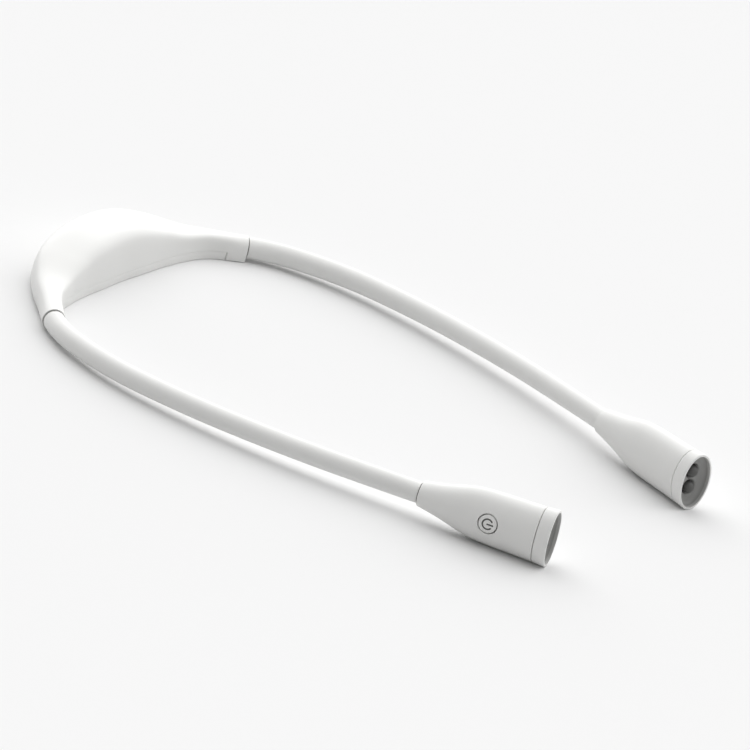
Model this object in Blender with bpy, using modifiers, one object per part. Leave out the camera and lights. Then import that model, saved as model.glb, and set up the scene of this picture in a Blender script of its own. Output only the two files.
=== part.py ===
"""Neck reading light: a battery housing behind the neck, two bendable arms and two oval lamp heads.

The light lies at rest: the housing's flat underside and the lower edges of both heads touch z = 0.
The heads point to -Y, the housing is at +Y and X = 0 is the plane of symmetry.
Lengths are in metres.
"""
import math

import bmesh
import bpy
from mathutils import Matrix, Vector

# Clearance between neighbouring pieces, and how far a cutter runs past what it cuts
GAP = 0.0003
OVERRUN = 0.002

# Arms: a soft sleeve over a metal gooseneck hose, in links that turn about ball-shaped ends
SLEEVE_RADIUS = 0.0041
SLEEVE_BORE_RADIUS = 0.0027
HOSE_RADIUS = 0.0024
HOSE_BORE_RADIUS = 0.0013
HOSE_TIP = 0.0022
HOSE_IN_HUB = 0.0095
HOSE_IN_HEAD = 0.0065
LINK_LENGTHS = (0.022, 0.034, 0.042, 0.046, 0.0305)
LINK_TURNS = (26.0, 16.4, 8.0, 6.1, 1.1)
ARM_START_HEADING = 42.5
HINGE_AXES = ("yaw", "pitch", "yaw", "pitch")

# Two AAA cells side by side, their contacts and the ribs that hold the contacts
CELL_RADIUS = 0.0050
CELL_LENGTH = 0.0445
CELL_NUB_RADIUS = 0.0019
CELL_NUB_HEIGHT = 0.0009
CELL_EDGE = 0.0006
CELL_PITCH = 2 * CELL_RADIUS + GAP
SPRING_LENGTH = 0.0049
BAY_SLACK = 0.0012
BAY_CLEARANCE = 0.00025
BAY_HALF_LENGTH = (CELL_LENGTH + SPRING_LENGTH + 2 * GAP) / 2
CONTACT_THICKNESS = 0.0004
CONTACT_WIDTH = 0.0070
CONTACT_HEIGHT = 0.0066
RIB_THICKNESS = 0.0012
RIB_HEIGHT = 0.0120
SPRING_RADIUS = 0.0030
SPRING_WIRE_RADIUS = 0.00035
SPRING_TURNS = 4
SPRING_POINTS_PER_TURN = 9

# Battery housing: its plan and height at stations from the middle, past the battery bay, to the collar
COLLAR_RADIUS = 0.0045
COLLAR_HEIGHT = 0.0046
HUB_WALL = 0.0012
HUB_SHOULDER = 0.04135
COLLAR_X = BAY_HALF_LENGTH + HUB_SHOULDER
HUB_INNER_Y = 0.0133
HUB_DEPTH = HUB_INNER_Y + 2 * HUB_WALL + CELL_PITCH + 2 * CELL_RADIUS + BAY_SLACK
HUB_HEIGHT = 0.0200
HUB_OUTER_EDGE_RADIUS = 0.0030
HUB_INNER_EDGE_RADIUS = 0.0005
HUB_STATION_SHARES = (0.0, 0.2, 0.4, 0.6, 0.8, 1.0)
HUB_OUTER_BAY_SHARES = (0.0, 0.676, 1.0, 1.0, 1.0)
HUB_OUTER_SHOULDER_SHARES = (0.0, 0.0, 0.212, 0.560, 0.856)
HUB_OUTER_Y_SHARES = (1.0, 0.982, 0.866, 0.596, 0.290)
HUB_INNER_BAY_SHARES = (0.0, 0.580, 1.0, 1.0, 1.0)
HUB_INNER_SHOULDER_SHARES = (0.0, 0.0, 0.085, 0.387, 0.662)
HUB_INNER_Y_SHARES = (1.0, 0.970, 0.935, 0.805, 0.470)
HUB_TOP_SHARES = (1.0, 0.925, 0.730, 0.532, 0.478)
HUB_OUTER_CROWN_POWERS = (3.6, 3.6, 3.6, 3.2, 2.6, 2.0)
HUB_INNER_CROWN_POWERS = (5.0, 5.0, 5.0, 5.0, 3.6, 2.0)
HUB_INNER_LEAN = 0.0018
HUB_INNER_LEAN_SHARES = (1.0, 1.0, 1.0, 0.9, 0.2, 0.0)
HUB_OUTER_EDGE_SHARES = (0.0, 0.0, 0.0, 0.1, 0.4, 1.0)
HUB_INNER_EDGE_SHARES = (0.0, 0.0, 0.0, 0.0, 0.0, 0.1)
CAVITY_END_SHARE = 0.8

# Lower shell of the housing, its screws and the battery door
PARTING_HEIGHT = 0.0035
LOWER_SHELL_FROM_COLLAR = 0.00935
LOWER_SHELL_X = COLLAR_X - LOWER_SHELL_FROM_COLLAR
BOSS_FROM_BAY = 0.0085
BOSS_X = BAY_HALF_LENGTH + BOSS_FROM_BAY
BOSS_Y = 0.0177
BOSS_RADIUS = 0.0024
PILOT_RADIUS = 0.0012
PILOT_DEPTH = 0.0080
FOOT_BOSS_RADIUS = 0.0030
FOOT_BOSS_HEIGHT = 0.0032
SCREW_HEAD_RADIUS = 0.0019
SCREW_HEAD_HEIGHT = 0.0012
SCREW_RECESS = 0.0018
SCREW_SHANK_RADIUS = 0.0009
SCREW_LENGTH = 0.0080
SCREW_SLOT_LENGTH = 0.0026
SCREW_SLOT_WIDTH = 0.0004
SCREW_SLOT_DEPTH = 0.0005
CELL_LEAN_SHARE = 0.6
CELL_ROW_Y = (HUB_INNER_Y - CELL_LEAN_SHARE * HUB_INNER_LEAN + HUB_WALL + BAY_CLEARANCE
              + CELL_RADIUS + CELL_PITCH / 2)
DOOR_LENGTH = 0.0500
DOOR_WIDTH = 0.0170
DOOR_THICKNESS = 0.0012
DOOR_RECESS = 0.0003
GRIP_RADIUS = 0.0012
GRIP_DEPTH = 0.0004
GRIP_LENGTH = 0.0090
GRIP_PITCH = 0.0034
GRIP_COUNT = 3
GRIP_FROM_END = 0.0083
GRIP_X = DOOR_LENGTH / 2 - GRIP_FROM_END

# Leads from beside the bay to the arms
LEAD_RADIUS = 0.0007
LEAD_START_Y = 0.0248
LEAD_START_Z = 0.0085
LEAD_PASS_FROM_BAY = 0.0150
LEAD_PASS_X = BAY_HALF_LENGTH + LEAD_PASS_FROM_BAY
LEAD_PASS_Y = 0.0195
LEAD_PASS_Z = 0.0058
LEAD_STRAIGHT = 0.0035

# Ferrule that clamps each hose in its collar
FERRULE_WALL = 0.0004
FERRULE_LENGTH = 0.0078
COLLAR_BORE_RADIUS = HOSE_RADIUS + GAP + FERRULE_WALL + GAP
HOSE_HOLE_RADIUS = HOSE_RADIUS + GAP

# Lamp heads: an oval bell, with a separate front bezel
NECK_RADIUS = 0.0050
HEAD_HALF_WIDTH = 0.00755
HEAD_HALF_HEIGHT = 0.0115
HEAD_LENGTH = 0.0534
HEAD_LENGTH_SHARES = (0.0, 0.105, 0.176, 0.268, 0.352, 0.436, 0.513, 0.590, 0.738, 0.886, 1.0)
HEAD_SWELL_SHARES = (0.0, 0.170, 0.300, 0.510, 0.705, 0.820, 0.870, 0.891, 0.915, 0.950, 1.0)
HEAD_WALL = 0.0015
NECK_BORE_LENGTH = 0.0062
BEZEL_LENGTH = 0.0052
BEZEL_LIP = 0.0010
BEZEL_ROUND = 0.0004
BEZEL_DRAFT = 0.0003
SPIGOT_LENGTH = 0.0020
SPIGOT_WALL = 0.0010
RECESS_DEPTH = 0.0032
LED_PLATE_THICKNESS = 0.0012
LED_BOARD_THICKNESS = 0.0010
LED_BOARD_SETBACK = 0.0070
LED_RADIUS = 0.0025
LED_FLANGE_RADIUS = 0.0029
LED_FLANGE_THICKNESS = 0.0010
LED_OFFSET = 0.0033
LED_PROUD = 0.0022
LED_DOME_RADIUS = 0.0025

# Power button on the outer side of each head, and the switch behind it
BUTTON_AT = 0.0293
BUTTON_RADIUS = 0.0038
BUTTON_PROUD = 0.00015
BUTTON_FLANGE_RADIUS = 0.0046
BUTTON_FLANGE_THICKNESS = 0.0007
BUTTON_FLANGE_SETBACK = 0.00285
BUTTON_FLANGE_OUTER = HEAD_HALF_WIDTH - BUTTON_FLANGE_SETBACK
BUTTON_FLANGE_INNER = BUTTON_FLANGE_OUTER - BUTTON_FLANGE_THICKNESS
BUTTON_TRAVEL = 0.0004
SWITCH_BOARD_LENGTH = 0.0120
SWITCH_BOARD_SETBACK = 0.0020
SWITCH_BOARD_HALF_HEIGHT = HEAD_HALF_HEIGHT - HEAD_WALL - SWITCH_BOARD_SETBACK
SWITCH_BOARD_THICKNESS = 0.0010
SWITCH_SIZE = 0.0060
SWITCH_HEIGHT = 0.0034
SWITCH_CLEARANCE = 0.0009
SWITCH_BOARD_FACE = BUTTON_FLANGE_INNER - SWITCH_CLEARANCE - SWITCH_HEIGHT - GAP
PLUNGER_RADIUS = 0.0017
PLUNGER_LENGTH = 0.0025
PLUNGER_START = BUTTON_FLANGE_INNER - GAP - PLUNGER_LENGTH

# Facet counts
RING_SIDES = 24
SLEEVE_SIDES = 16
SMALL_SIDES = 12
HOSE_SIDES = 8
HUB_STEPS = 32
CAVITY_STEPS = 20
CROWN_STEPS = 10
EDGE_STEPS = 3
DOME_STEPS = 3
BEND_STEPS = 4
LEAD_STEPS = 4

WHITE = ((0.86, 0.86, 0.85), 0.45, 0.0)
SLEEVE_WHITE = ((0.84, 0.84, 0.83), 0.55, 0.0)
GREY = ((0.30, 0.30, 0.30), 0.50, 0.0)
STEEL = ((0.62, 0.62, 0.63), 0.30, 1.0)
CLEAR = ((0.80, 0.82, 0.84), 0.10, 0.0)
GREEN = ((0.05, 0.25, 0.12), 0.50, 0.0)
BLACK = ((0.03, 0.03, 0.03), 0.45, 0.0)
CELL_BLUE = ((0.06, 0.12, 0.30), 0.35, 0.0)


def clear_scene():
    for ob in list(bpy.data.objects):
        bpy.data.objects.remove(ob, do_unlink=True)


def new_collection(name):
    collection = bpy.data.collections.new(name)
    bpy.context.scene.collection.children.link(collection)
    return collection


clear_scene()
PARTS = new_collection("neck_reading_light")
CUTTERS = new_collection("cutters")


def material(name, look):
    color, roughness, metallic = look
    found = bpy.data.materials.get(name)
    if found:
        return found
    made = bpy.data.materials.new(name)
    made.use_nodes = True
    shader = made.node_tree.nodes["Principled BSDF"]
    shader.inputs["Base Color"].default_value = (*color, 1.0)
    shader.inputs["Roughness"].default_value = roughness
    shader.inputs["Metallic"].default_value = metallic
    return made


def add_object(name, data, frame, look_name, look, parent=None):
    """Links an object at a world frame, under its joint's empty where it has one."""
    ob = bpy.data.objects.new(name, data)
    PARTS.objects.link(ob)
    if parent:
        ob.parent = parent
        ob.matrix_parent_inverse = parent.matrix_world.inverted()
    ob.matrix_world = frame
    data.materials.append(material(look_name, look))
    return ob


def mesh_from(bm, name):
    bmesh.ops.remove_doubles(bm, verts=bm.verts, dist=GAP / 100)
    bmesh.ops.recalc_face_normals(bm, faces=bm.faces)
    mesh = bpy.data.meshes.new(name)
    bm.to_mesh(mesh)
    bm.free()
    mesh.shade_smooth()
    mesh.set_sharp_from_angle(angle=math.radians(35))
    return mesh


def as_cutter(ob):
    for collection in list(ob.users_collection):
        collection.objects.unlink(ob)
    CUTTERS.objects.link(ob)
    ob.hide_render = True
    ob.display_type = "WIRE"
    return ob


def boolean(ob, other, operation):
    modifier = ob.modifiers.new(operation.lower(), "BOOLEAN")
    modifier.operation = operation
    modifier.object = other


def joint_empty(name, frame, parent=None):
    empty = bpy.data.objects.new(name, None)
    PARTS.objects.link(empty)
    if parent:
        empty.parent = parent
        empty.matrix_parent_inverse = parent.matrix_world.inverted()
    empty.matrix_world = frame
    bpy.context.view_layer.update()
    return empty


# Shapes


def loft(rings, name, closed=False):
    """A body through rings of equal point counts: capped at both ends, or closed back on itself."""
    bm = bmesh.new()
    loops = [[bm.verts.new(p) for p in ring] for ring in rings]
    pairs = list(zip(loops, loops[1:]))
    if closed:
        pairs.append((loops[-1], loops[0]))
    for here, there in pairs:
        for i in range(len(here)):
            j = (i + 1) % len(here)
            bm.faces.new((here[i], here[j], there[j], there[i]))
    if not closed:
        bm.faces.new(loops[0])
        bm.faces.new(loops[-1])
    return mesh_from(bm, name)


def oval(y, half_width, half_height, sides=RING_SIDES):
    """A ring across the Y axis."""
    angles = [2 * math.pi * i / sides for i in range(sides)]
    return [Vector((half_width * math.cos(angle), y, half_height * math.sin(angle))) for angle in angles]


def turned(name, profile, frame, look_name, look, sides=SMALL_SIDES, closed=False, parent=None):
    """A solid of (radius, height) points turned about its own Z; the outer side runs top to bottom."""
    mesh = bpy.data.meshes.new(name)
    count = len(profile)
    edges = [(i, i + 1) for i in range(count - 1)]
    if closed:
        edges.append((count - 1, 0))
    mesh.from_pydata([(r, 0.0, z) for r, z in profile], edges, [])
    ob = add_object(name, mesh, frame, look_name, look, parent)
    screw = ob.modifiers.new("turn", "SCREW")
    screw.steps = sides
    screw.render_steps = sides
    screw.use_merge_vertices = True
    screw.merge_threshold = GAP / 100
    return ob


def block(name, size, frame, look_name, look, parent=None):
    bm = bmesh.new()
    bmesh.ops.create_cube(bm, size=1.0)
    bmesh.ops.scale(bm, vec=Vector(size), verts=bm.verts)
    return add_object(name, mesh_from(bm, name), frame, look_name, look, parent)


def tube(name, points, radius, frame, look_name, look, resolution, parent=None):
    """A wire along a poly line, from a curve with a round bevel and filled caps."""
    curve = bpy.data.curves.new(name, "CURVE")
    curve.dimensions = "3D"
    curve.bevel_depth = radius
    curve.bevel_resolution = resolution
    curve.use_fill_caps = True
    spline = curve.splines.new("POLY")
    spline.points.add(len(points) - 1)
    for spot, point in zip(spline.points, points):
        spot.co = (*point, 1.0)
    drawn = bpy.data.objects.new(name, curve)
    bm = bmesh.new()
    bm.from_mesh(bpy.data.meshes.new_from_object(drawn))
    bpy.data.objects.remove(drawn)
    return add_object(name, mesh_from(bm, name), frame, look_name, look, parent)


def through(points, steps):
    """A smooth line through a few points, by Catmull-Rom segments."""
    ends = [2 * points[0] - points[1]] + list(points) + [2 * points[-1] - points[-2]]
    line = []
    for a, b, c, d in zip(ends, ends[1:], ends[2:], ends[3:]):
        for i in range(steps):
            t = i / steps
            line.append(0.5 * (2 * b + (c - a) * t + (2 * a - 5 * b + 4 * c - d) * t ** 2
                               + (3 * b - a - 3 * c + d) * t ** 3))
    return line + [points[-1]]


# Arm route. All links lie in one plane, which rises towards the heads.


class Link:
    """One stretch of arm: a straight cup end, then an arc up to the next pivot."""

    def __init__(self, index, side):
        self.index = index
        self.side = side
        self.length = LINK_LENGTHS[index]
        self.straight = 0.0 if index == 0 else SLEEVE_RADIUS + GAP
        self.turn = math.radians(LINK_TURNS[index])

    def along(self, y):
        """Centre and heading change at the distance y from the link's start, in its own frame."""
        rate = self.turn / (self.length - self.straight)
        low = -HOSE_IN_HUB if self.index == 0 else self.straight
        on_arc = min(max(y, low), self.length) - self.straight
        angle = rate * on_arc
        centre = Vector(((1 - math.cos(angle)) / rate, self.straight + math.sin(angle) / rate, 0.0))
        ahead = y - self.straight - on_arc
        centre += ahead * Vector((math.sin(angle), math.cos(angle), 0.0))
        return Vector((self.side * centre.x, centre.y, 0.0)), -self.side * angle

    def bend(self, point):
        centre, angle = self.along(point.y)
        return centre + Matrix.Rotation(angle, 3, "Z") @ Vector((point.x, 0.0, point.z))

    def end_frame(self):
        centre, angle = self.along(self.length)
        return Matrix.Translation(centre) @ Matrix.Rotation(angle, 4, "Z")


def plan_frames(side):
    """Frames of the collar, the four pivots and the head's neck, in the plane of the arms."""
    turn = math.pi + side * math.radians(ARM_START_HEADING)
    frames = [Matrix.Translation((side * COLLAR_X, 0.0, 0.0)) @ Matrix.Rotation(turn, 4, "Z")]
    for index in range(len(LINK_LENGTHS)):
        frames.append(frames[-1] @ Link(index, side).end_frame())
    return frames


def arm_plane():
    """Places the plane of the arms so that both rims and the housing touch z = 0, centred along Y."""
    neck = plan_frames(1)[-1]
    rim = neck @ Vector((0.0, HEAD_LENGTH, 0.0))
    reach = -rim.y
    radius = math.hypot(reach, HEAD_HALF_HEIGHT)
    pitch = math.atan2(HEAD_HALF_HEIGHT, reach) - math.asin(COLLAR_HEIGHT / radius)
    heading = neck.to_3x3() @ Vector((1.0, 0.0, 0.0))
    beyond = math.hypot(HEAD_HALF_WIDTH * heading.y * math.cos(pitch), HEAD_HALF_HEIGHT * math.sin(pitch))
    front = reach * math.cos(pitch) + beyond
    middle = (front - HUB_DEPTH) / 2
    return Matrix.Translation((0.0, middle, COLLAR_HEIGHT)) @ Matrix.Rotation(-pitch, 4, "X")


PLANE = arm_plane()
HUB_Y = PLANE.translation.y


# Battery housing


def mirrored_shares(shares):
    return [-s for s in shares[:0:-1]] + list(shares)


def even_shares(shares):
    return list(shares[:0:-1]) + list(shares)


def spline_at(keys, values, at):
    """Catmull-Rom value at a place along evenly spaced keys."""
    step = keys[1] - keys[0]
    place = min(max((at - keys[0]) / step, 0.0), len(keys) - 1.0)
    i = min(int(place), len(keys) - 2)
    t = place - i
    b, c = values[i], values[i + 1]
    a = values[i - 1] if i > 0 else 2 * b - c
    d = values[i + 2] if i + 2 < len(values) else 2 * c - b
    return 0.5 * (2 * b + (c - a) * t + (2 * a - 5 * b + 4 * c - d) * t ** 2
                  + (3 * b - a - 3 * c + d) * t ** 3)


def plan_points(bay_shares, shoulder_shares, depth, depth_shares):
    """Plan points from shares of the bay's half length, of the shoulder beyond it and of a depth."""
    rows = zip(bay_shares, shoulder_shares, depth_shares)
    return [Vector((BAY_HALF_LENGTH * a + HUB_SHOULDER * b, depth * c)) for a, b, c in rows]


def hub_outline():
    """Stations of the housing: keys, outer and inner plan, tops, crown powers, edge and lean shares."""
    across = math.radians(ARM_START_HEADING)
    normal = Vector((math.cos(across), math.sin(across)))
    collar = Vector((COLLAR_X, 0.0))
    outer = plan_points(HUB_OUTER_BAY_SHARES, HUB_OUTER_SHOULDER_SHARES, HUB_DEPTH, HUB_OUTER_Y_SHARES)
    inner = plan_points(HUB_INNER_BAY_SHARES, HUB_INNER_SHOULDER_SHARES, HUB_INNER_Y, HUB_INNER_Y_SHARES)
    outer.append(collar + COLLAR_RADIUS * normal)
    inner.append(collar - COLLAR_RADIUS * normal)
    flip = Vector((-1.0, 1.0))
    both = [[flip * p for p in line[:0:-1]] + line for line in (outer, inner)]
    tops = [HUB_HEIGHT * share for share in HUB_TOP_SHARES] + [COLLAR_HEIGHT + COLLAR_RADIUS]
    even = (tops, HUB_OUTER_CROWN_POWERS, HUB_INNER_CROWN_POWERS, HUB_OUTER_EDGE_SHARES,
            HUB_INNER_EDGE_SHARES, HUB_INNER_LEAN_SHARES)
    return mirrored_shares(HUB_STATION_SHARES), *both, *map(even_shares, even)


def lower_corner(half, base, least, share, inset):
    """Points from a side wall down round its lower corner: a small round edge, or up to a quarter oval."""
    wide = max(least + share * (half - least) - inset * (1 - share), GAP)
    tall = max(least + share * (base - least) - inset * (1 - share), GAP)
    corner = []
    for i in range(EDGE_STEPS + 1):
        angle = math.pi / 2 * i / EDGE_STEPS
        corner.append((half - wide + wide * math.cos(angle), tall - base - tall * math.sin(angle)))
    return corner


def hub_ring(u, inset=0.0):
    """Cross-section of the housing at the station u: crowned top, leaning inner wall and flat base."""
    keys, outer, inner, *rows = hub_outline()
    top, outer_power, inner_power, outer_edge, inner_edge, lean = (spline_at(keys, row, u) for row in rows)
    out = Vector((spline_at(keys, [p.x for p in outer], u), spline_at(keys, [p.y for p in outer], u)))
    into = Vector((spline_at(keys, [p.x for p in inner], u), spline_at(keys, [p.y for p in inner], u)))
    centre = (out + into) / 2
    half = (out - into).length / 2 - inset
    across = (out - into).normalized()
    crown = top - COLLAR_HEIGHT - inset
    base = COLLAR_HEIGHT - inset
    ring = []
    for i in range(CROWN_STEPS + 1):
        angle = math.pi * i / CROWN_STEPS
        power = 2 / (outer_power if 2 * i < CROWN_STEPS else inner_power)
        side = math.copysign(abs(math.cos(angle)) ** power, math.cos(angle))
        ring.append((half * side, crown * math.sin(angle) ** power))
    inner_corner = lower_corner(half, base, HUB_INNER_EDGE_RADIUS, inner_edge, inset)
    outer_corner = lower_corner(half, base, HUB_OUTER_EDGE_RADIUS, outer_edge, inset)
    ring += [(-s, z) for s, z in inner_corner] + outer_corner[::-1]
    slope = lean * HUB_INNER_LEAN / (crown + base)
    ring = [(s - slope * (crown - z) if s < 0 else s, z) for s, z in ring]
    places = [(centre + across * s, COLLAR_HEIGHT + z) for s, z in ring]
    return [Vector((p.x, HUB_Y + p.y, z)) for p, z in places]


def hub_solid(name, inset, reach, steps):
    rings = [hub_ring(reach * (2 * i / steps - 1), inset) for i in range(steps + 1)]
    return add_object(name, loft(rings, name), Matrix(), "white_plastic", WHITE)


def hub_point(x, y, z):
    """A place in the housing, with y counted from the collars."""
    return Vector((x, HUB_Y + y, z))


def hub_block(name, size, centre):
    return block(name, size, Matrix.Translation(hub_point(*centre)), "white_plastic", WHITE)


def hub_post(name, x, radius, bottom, top):
    profile = ((0.0, top), (radius, top), (radius, bottom), (0.0, bottom))
    return turned(name, profile, Matrix.Translation(hub_point(x, BOSS_Y, 0.0)), "white_plastic", WHITE)


def contact_rib(side, limit):
    """A wall across the cavity, behind the battery contacts."""
    x = side * (BAY_HALF_LENGTH + CONTACT_THICKNESS + GAP + RIB_THICKNESS / 2)
    low = PARTING_HEIGHT + 2 * GAP
    size = (RIB_THICKNESS, 2 * HUB_DEPTH, RIB_HEIGHT - low)
    rib = hub_block(f"rib_{side}", size, (x, 0.0, (RIB_HEIGHT + low) / 2))
    boolean(rib, limit, "INTERSECT")
    return as_cutter(rib)


def screw_boss(side, limit):
    """A post from the ceiling of the cavity, which takes a screw from below."""
    boss = hub_post(f"boss_{side}", side * BOSS_X, BOSS_RADIUS, FOOT_BOSS_HEIGHT + GAP, HUB_HEIGHT)
    boolean(boss, limit, "INTERSECT")
    return as_cutter(boss)


def lower_region(name, margin):
    """The part of the housing's underside that the lower shell takes up."""
    top = PARTING_HEIGHT + margin
    size = (2 * (LOWER_SHELL_X + margin), 3 * HUB_DEPTH, top + OVERRUN)
    return as_cutter(hub_block(name, size, (0.0, 0.0, (top - OVERRUN) / 2)))


def collar_bore(side):
    """The bore through a collar, bent as the arm is: wide for the ferrule, narrow for the hose alone."""
    link = Link(0, side)
    step = -FERRULE_LENGTH - GAP
    profile = [(HOSE_HOLE_RADIUS, y) for y in stretch(-HOSE_IN_HUB - 2 * OVERRUN, step, BEND_STEPS)]
    profile += [(COLLAR_BORE_RADIUS, y) for y in stretch(step, OVERRUN, BEND_STEPS)]
    rings = [[link.bend(p) for p in oval(y, r, r, SLEEVE_SIDES)] for r, y in profile]
    frame = PLANE @ plan_frames(side)[0]
    return as_cutter(add_object(f"bore_{side}", loft(rings, "bore"), frame, "white_plastic", WHITE))


def build_hub_shells():
    cavity = as_cutter(hub_solid("cavity", HUB_WALL, CAVITY_END_SHARE, CAVITY_STEPS))
    limit = as_cutter(hub_solid("mid_wall", HUB_WALL / 2, CAVITY_END_SHARE, CAVITY_STEPS))

    upper = hub_solid("hub_upper_shell", 0.0, 1.0, HUB_STEPS)
    boolean(upper, cavity, "DIFFERENCE")
    boolean(upper, lower_region("lower_region_clear", GAP), "DIFFERENCE")
    for side in (-1, 1):
        boolean(upper, contact_rib(side, limit), "UNION")
        boolean(upper, screw_boss(side, limit), "UNION")
        boolean(upper, collar_bore(side), "DIFFERENCE")
        low = FOOT_BOSS_HEIGHT - OVERRUN
        high = FOOT_BOSS_HEIGHT + PILOT_DEPTH
        pilot = hub_post(f"pilot_{side}", side * BOSS_X, PILOT_RADIUS, low, high)
        boolean(upper, as_cutter(pilot), "DIFFERENCE")

    lower = hub_solid("hub_lower_shell", 0.0, 1.0, HUB_STEPS)
    boolean(lower, lower_region("lower_region", 0.0), "INTERSECT")
    boolean(lower, cavity, "DIFFERENCE")
    opening = (DOOR_LENGTH + 2 * GAP, DOOR_WIDTH + 2 * GAP, 2 * HUB_WALL + 2 * OVERRUN)
    boolean(lower, as_cutter(hub_block("door_opening", opening, (0.0, CELL_ROW_Y, 0.0))), "DIFFERENCE")
    for side in (-1, 1):
        x = side * BOSS_X
        foot = hub_post(f"foot_boss_{side}", x, FOOT_BOSS_RADIUS, HUB_WALL / 2, FOOT_BOSS_HEIGHT)
        top = FOOT_BOSS_HEIGHT + OVERRUN
        recess_radius = SCREW_HEAD_RADIUS + GAP
        profile = ((0.0, top), (PILOT_RADIUS, top), (PILOT_RADIUS, SCREW_RECESS),
                   (recess_radius, SCREW_RECESS), (recess_radius, -OVERRUN), (0.0, -OVERRUN))
        frame = Matrix.Translation(hub_point(x, BOSS_Y, 0.0))
        hole = turned(f"screw_hole_{side}", profile, frame, "white_plastic", WHITE)
        boolean(lower, as_cutter(foot), "UNION")
        boolean(lower, as_cutter(hole), "DIFFERENCE")


def build_hub_screws():
    for side, number in ((-1, 1), (1, 2)):
        seat = SCREW_RECESS - GAP
        head = seat - SCREW_HEAD_HEIGHT
        tip = seat + SCREW_LENGTH
        profile = ((0.0, tip), (SCREW_SHANK_RADIUS, tip - SCREW_SHANK_RADIUS), (SCREW_SHANK_RADIUS, seat),
                   (SCREW_HEAD_RADIUS, seat), (SCREW_HEAD_RADIUS, head), (0.0, head))
        frame = Matrix.Translation(hub_point(side * BOSS_X, BOSS_Y, 0.0))
        screw = turned(f"hub_screw_{number}", profile, frame, "steel", STEEL)
        for index in (0, 1):
            size = [SCREW_SLOT_WIDTH, SCREW_SLOT_WIDTH, 2 * SCREW_SLOT_DEPTH]
            size[index] = SCREW_SLOT_LENGTH
            slot = hub_block(f"slot_{number}_{index}", size, (side * BOSS_X, BOSS_Y, head))
            boolean(screw, as_cutter(slot), "DIFFERENCE")


def build_battery_door():
    centre = (0.0, CELL_ROW_Y, DOOR_RECESS + DOOR_THICKNESS / 2)
    empty = joint_empty("battery_door_slide", Matrix.Translation(hub_point(*centre)))
    door = block("battery_door", (DOOR_LENGTH, DOOR_WIDTH, DOOR_THICKNESS), empty.matrix_world,
                 "white_plastic", WHITE, empty)
    for index in range(GRIP_COUNT):
        x = GRIP_X + (index - (GRIP_COUNT - 1) / 2) * GRIP_PITCH
        size = (GRIP_RADIUS, GRIP_LENGTH, 2 * GRIP_DEPTH)
        grip = hub_block(f"grip_{index}", size, (x, CELL_ROW_Y, DOOR_RECESS))
        boolean(door, as_cutter(grip), "DIFFERENCE")


def battery_places():
    """The two cells: name, the end that its plus pole points to, and its row."""
    return (("1", 1, CELL_ROW_Y - CELL_PITCH / 2), ("2", -1, CELL_ROW_Y + CELL_PITCH / 2))


def build_batteries():
    height = DOOR_RECESS + DOOR_THICKNESS + GAP + CELL_RADIUS
    shoulder = CELL_LENGTH - CELL_NUB_HEIGHT
    profile = ((0.0, CELL_LENGTH), (CELL_NUB_RADIUS, CELL_LENGTH), (CELL_NUB_RADIUS, shoulder),
               (CELL_RADIUS - CELL_EDGE, shoulder), (CELL_RADIUS, shoulder - CELL_EDGE),
               (CELL_RADIUS, CELL_EDGE), (CELL_RADIUS - CELL_EDGE, 0.0), (0.0, 0.0))
    for name, end, y in battery_places():
        tip = end * (BAY_HALF_LENGTH - GAP)
        base = tip - end * CELL_LENGTH
        frame = Matrix.Translation(hub_point(base, y, height)) @ Matrix.Rotation(end * math.pi / 2, 4, "Y")
        turned(f"battery_{name}", profile, frame, "cell_wrap", CELL_BLUE, 2 * SMALL_SIDES)
        plate = -end * (BAY_HALF_LENGTH - GAP - SPRING_WIRE_RADIUS)
        free = base - end * (GAP + SPRING_WIRE_RADIUS)
        count = SPRING_TURNS * SPRING_POINTS_PER_TURN
        points = []
        for i in range(count + 1):
            angle = 2 * math.pi * i / SPRING_POINTS_PER_TURN
            x = plate + (free - plate) * i / count
            around = SPRING_RADIUS * Vector((0.0, math.cos(angle), math.sin(angle)))
            points.append(hub_point(x, y, height) + around)
        tube(f"battery_spring_{name}", points, SPRING_WIRE_RADIUS, Matrix(), "steel", STEEL, 0)
        plus = (end * (BAY_HALF_LENGTH + CONTACT_THICKNESS / 2), y, height)
        minus = (-plus[0], y, height)
        plate_size = (CONTACT_THICKNESS, CONTACT_WIDTH, CONTACT_HEIGHT)
        if end > 0:
            block("plus_contact", plate_size, Matrix.Translation(hub_point(*plus)), "steel", STEEL)
            bridge = (CONTACT_THICKNESS, CONTACT_WIDTH + CELL_PITCH, CONTACT_HEIGHT)
            middle = hub_point(minus[0], CELL_ROW_Y, height)
            block("contact_bridge", bridge, Matrix.Translation(middle), "steel", STEEL)
        else:
            block("minus_contact", plate_size, Matrix.Translation(hub_point(*minus)), "steel", STEEL)


def build_hub_lead(side, word):
    """The arm's lead, from beside the contacts into the mouth of the hose."""
    collar = PLANE @ plan_frames(side)[0]
    link = Link(0, side)
    before = collar @ link.bend(Vector((0.0, -HOSE_IN_HUB - LEAD_STRAIGHT, 0.0)))
    inside = collar @ link.bend(Vector((0.0, -HOSE_IN_HUB + LEAD_STRAIGHT, 0.0)))
    start_x = BAY_HALF_LENGTH + CONTACT_THICKNESS + GAP + RIB_THICKNESS + GAP
    route = [hub_point(side * start_x, LEAD_START_Y, LEAD_START_Z),
             hub_point(side * LEAD_PASS_X, LEAD_PASS_Y, LEAD_PASS_Z), before, inside]
    tube(f"hub_lead_{word}", through(route, LEAD_STEPS), LEAD_RADIUS, Matrix(), "lead_black", BLACK, 1)


# Arms


def bent_tube(name, link, profile, sides, frame, look_name, look, parent=None):
    """A closed profile of (radius, distance) points round the arm's centre line, bent along the link."""
    rings = [[link.bend(p) for p in oval(y, r, r, sides)] for r, y in profile]
    return add_object(name, loft(rings, name, closed=True), frame, look_name, look, parent)


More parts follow.
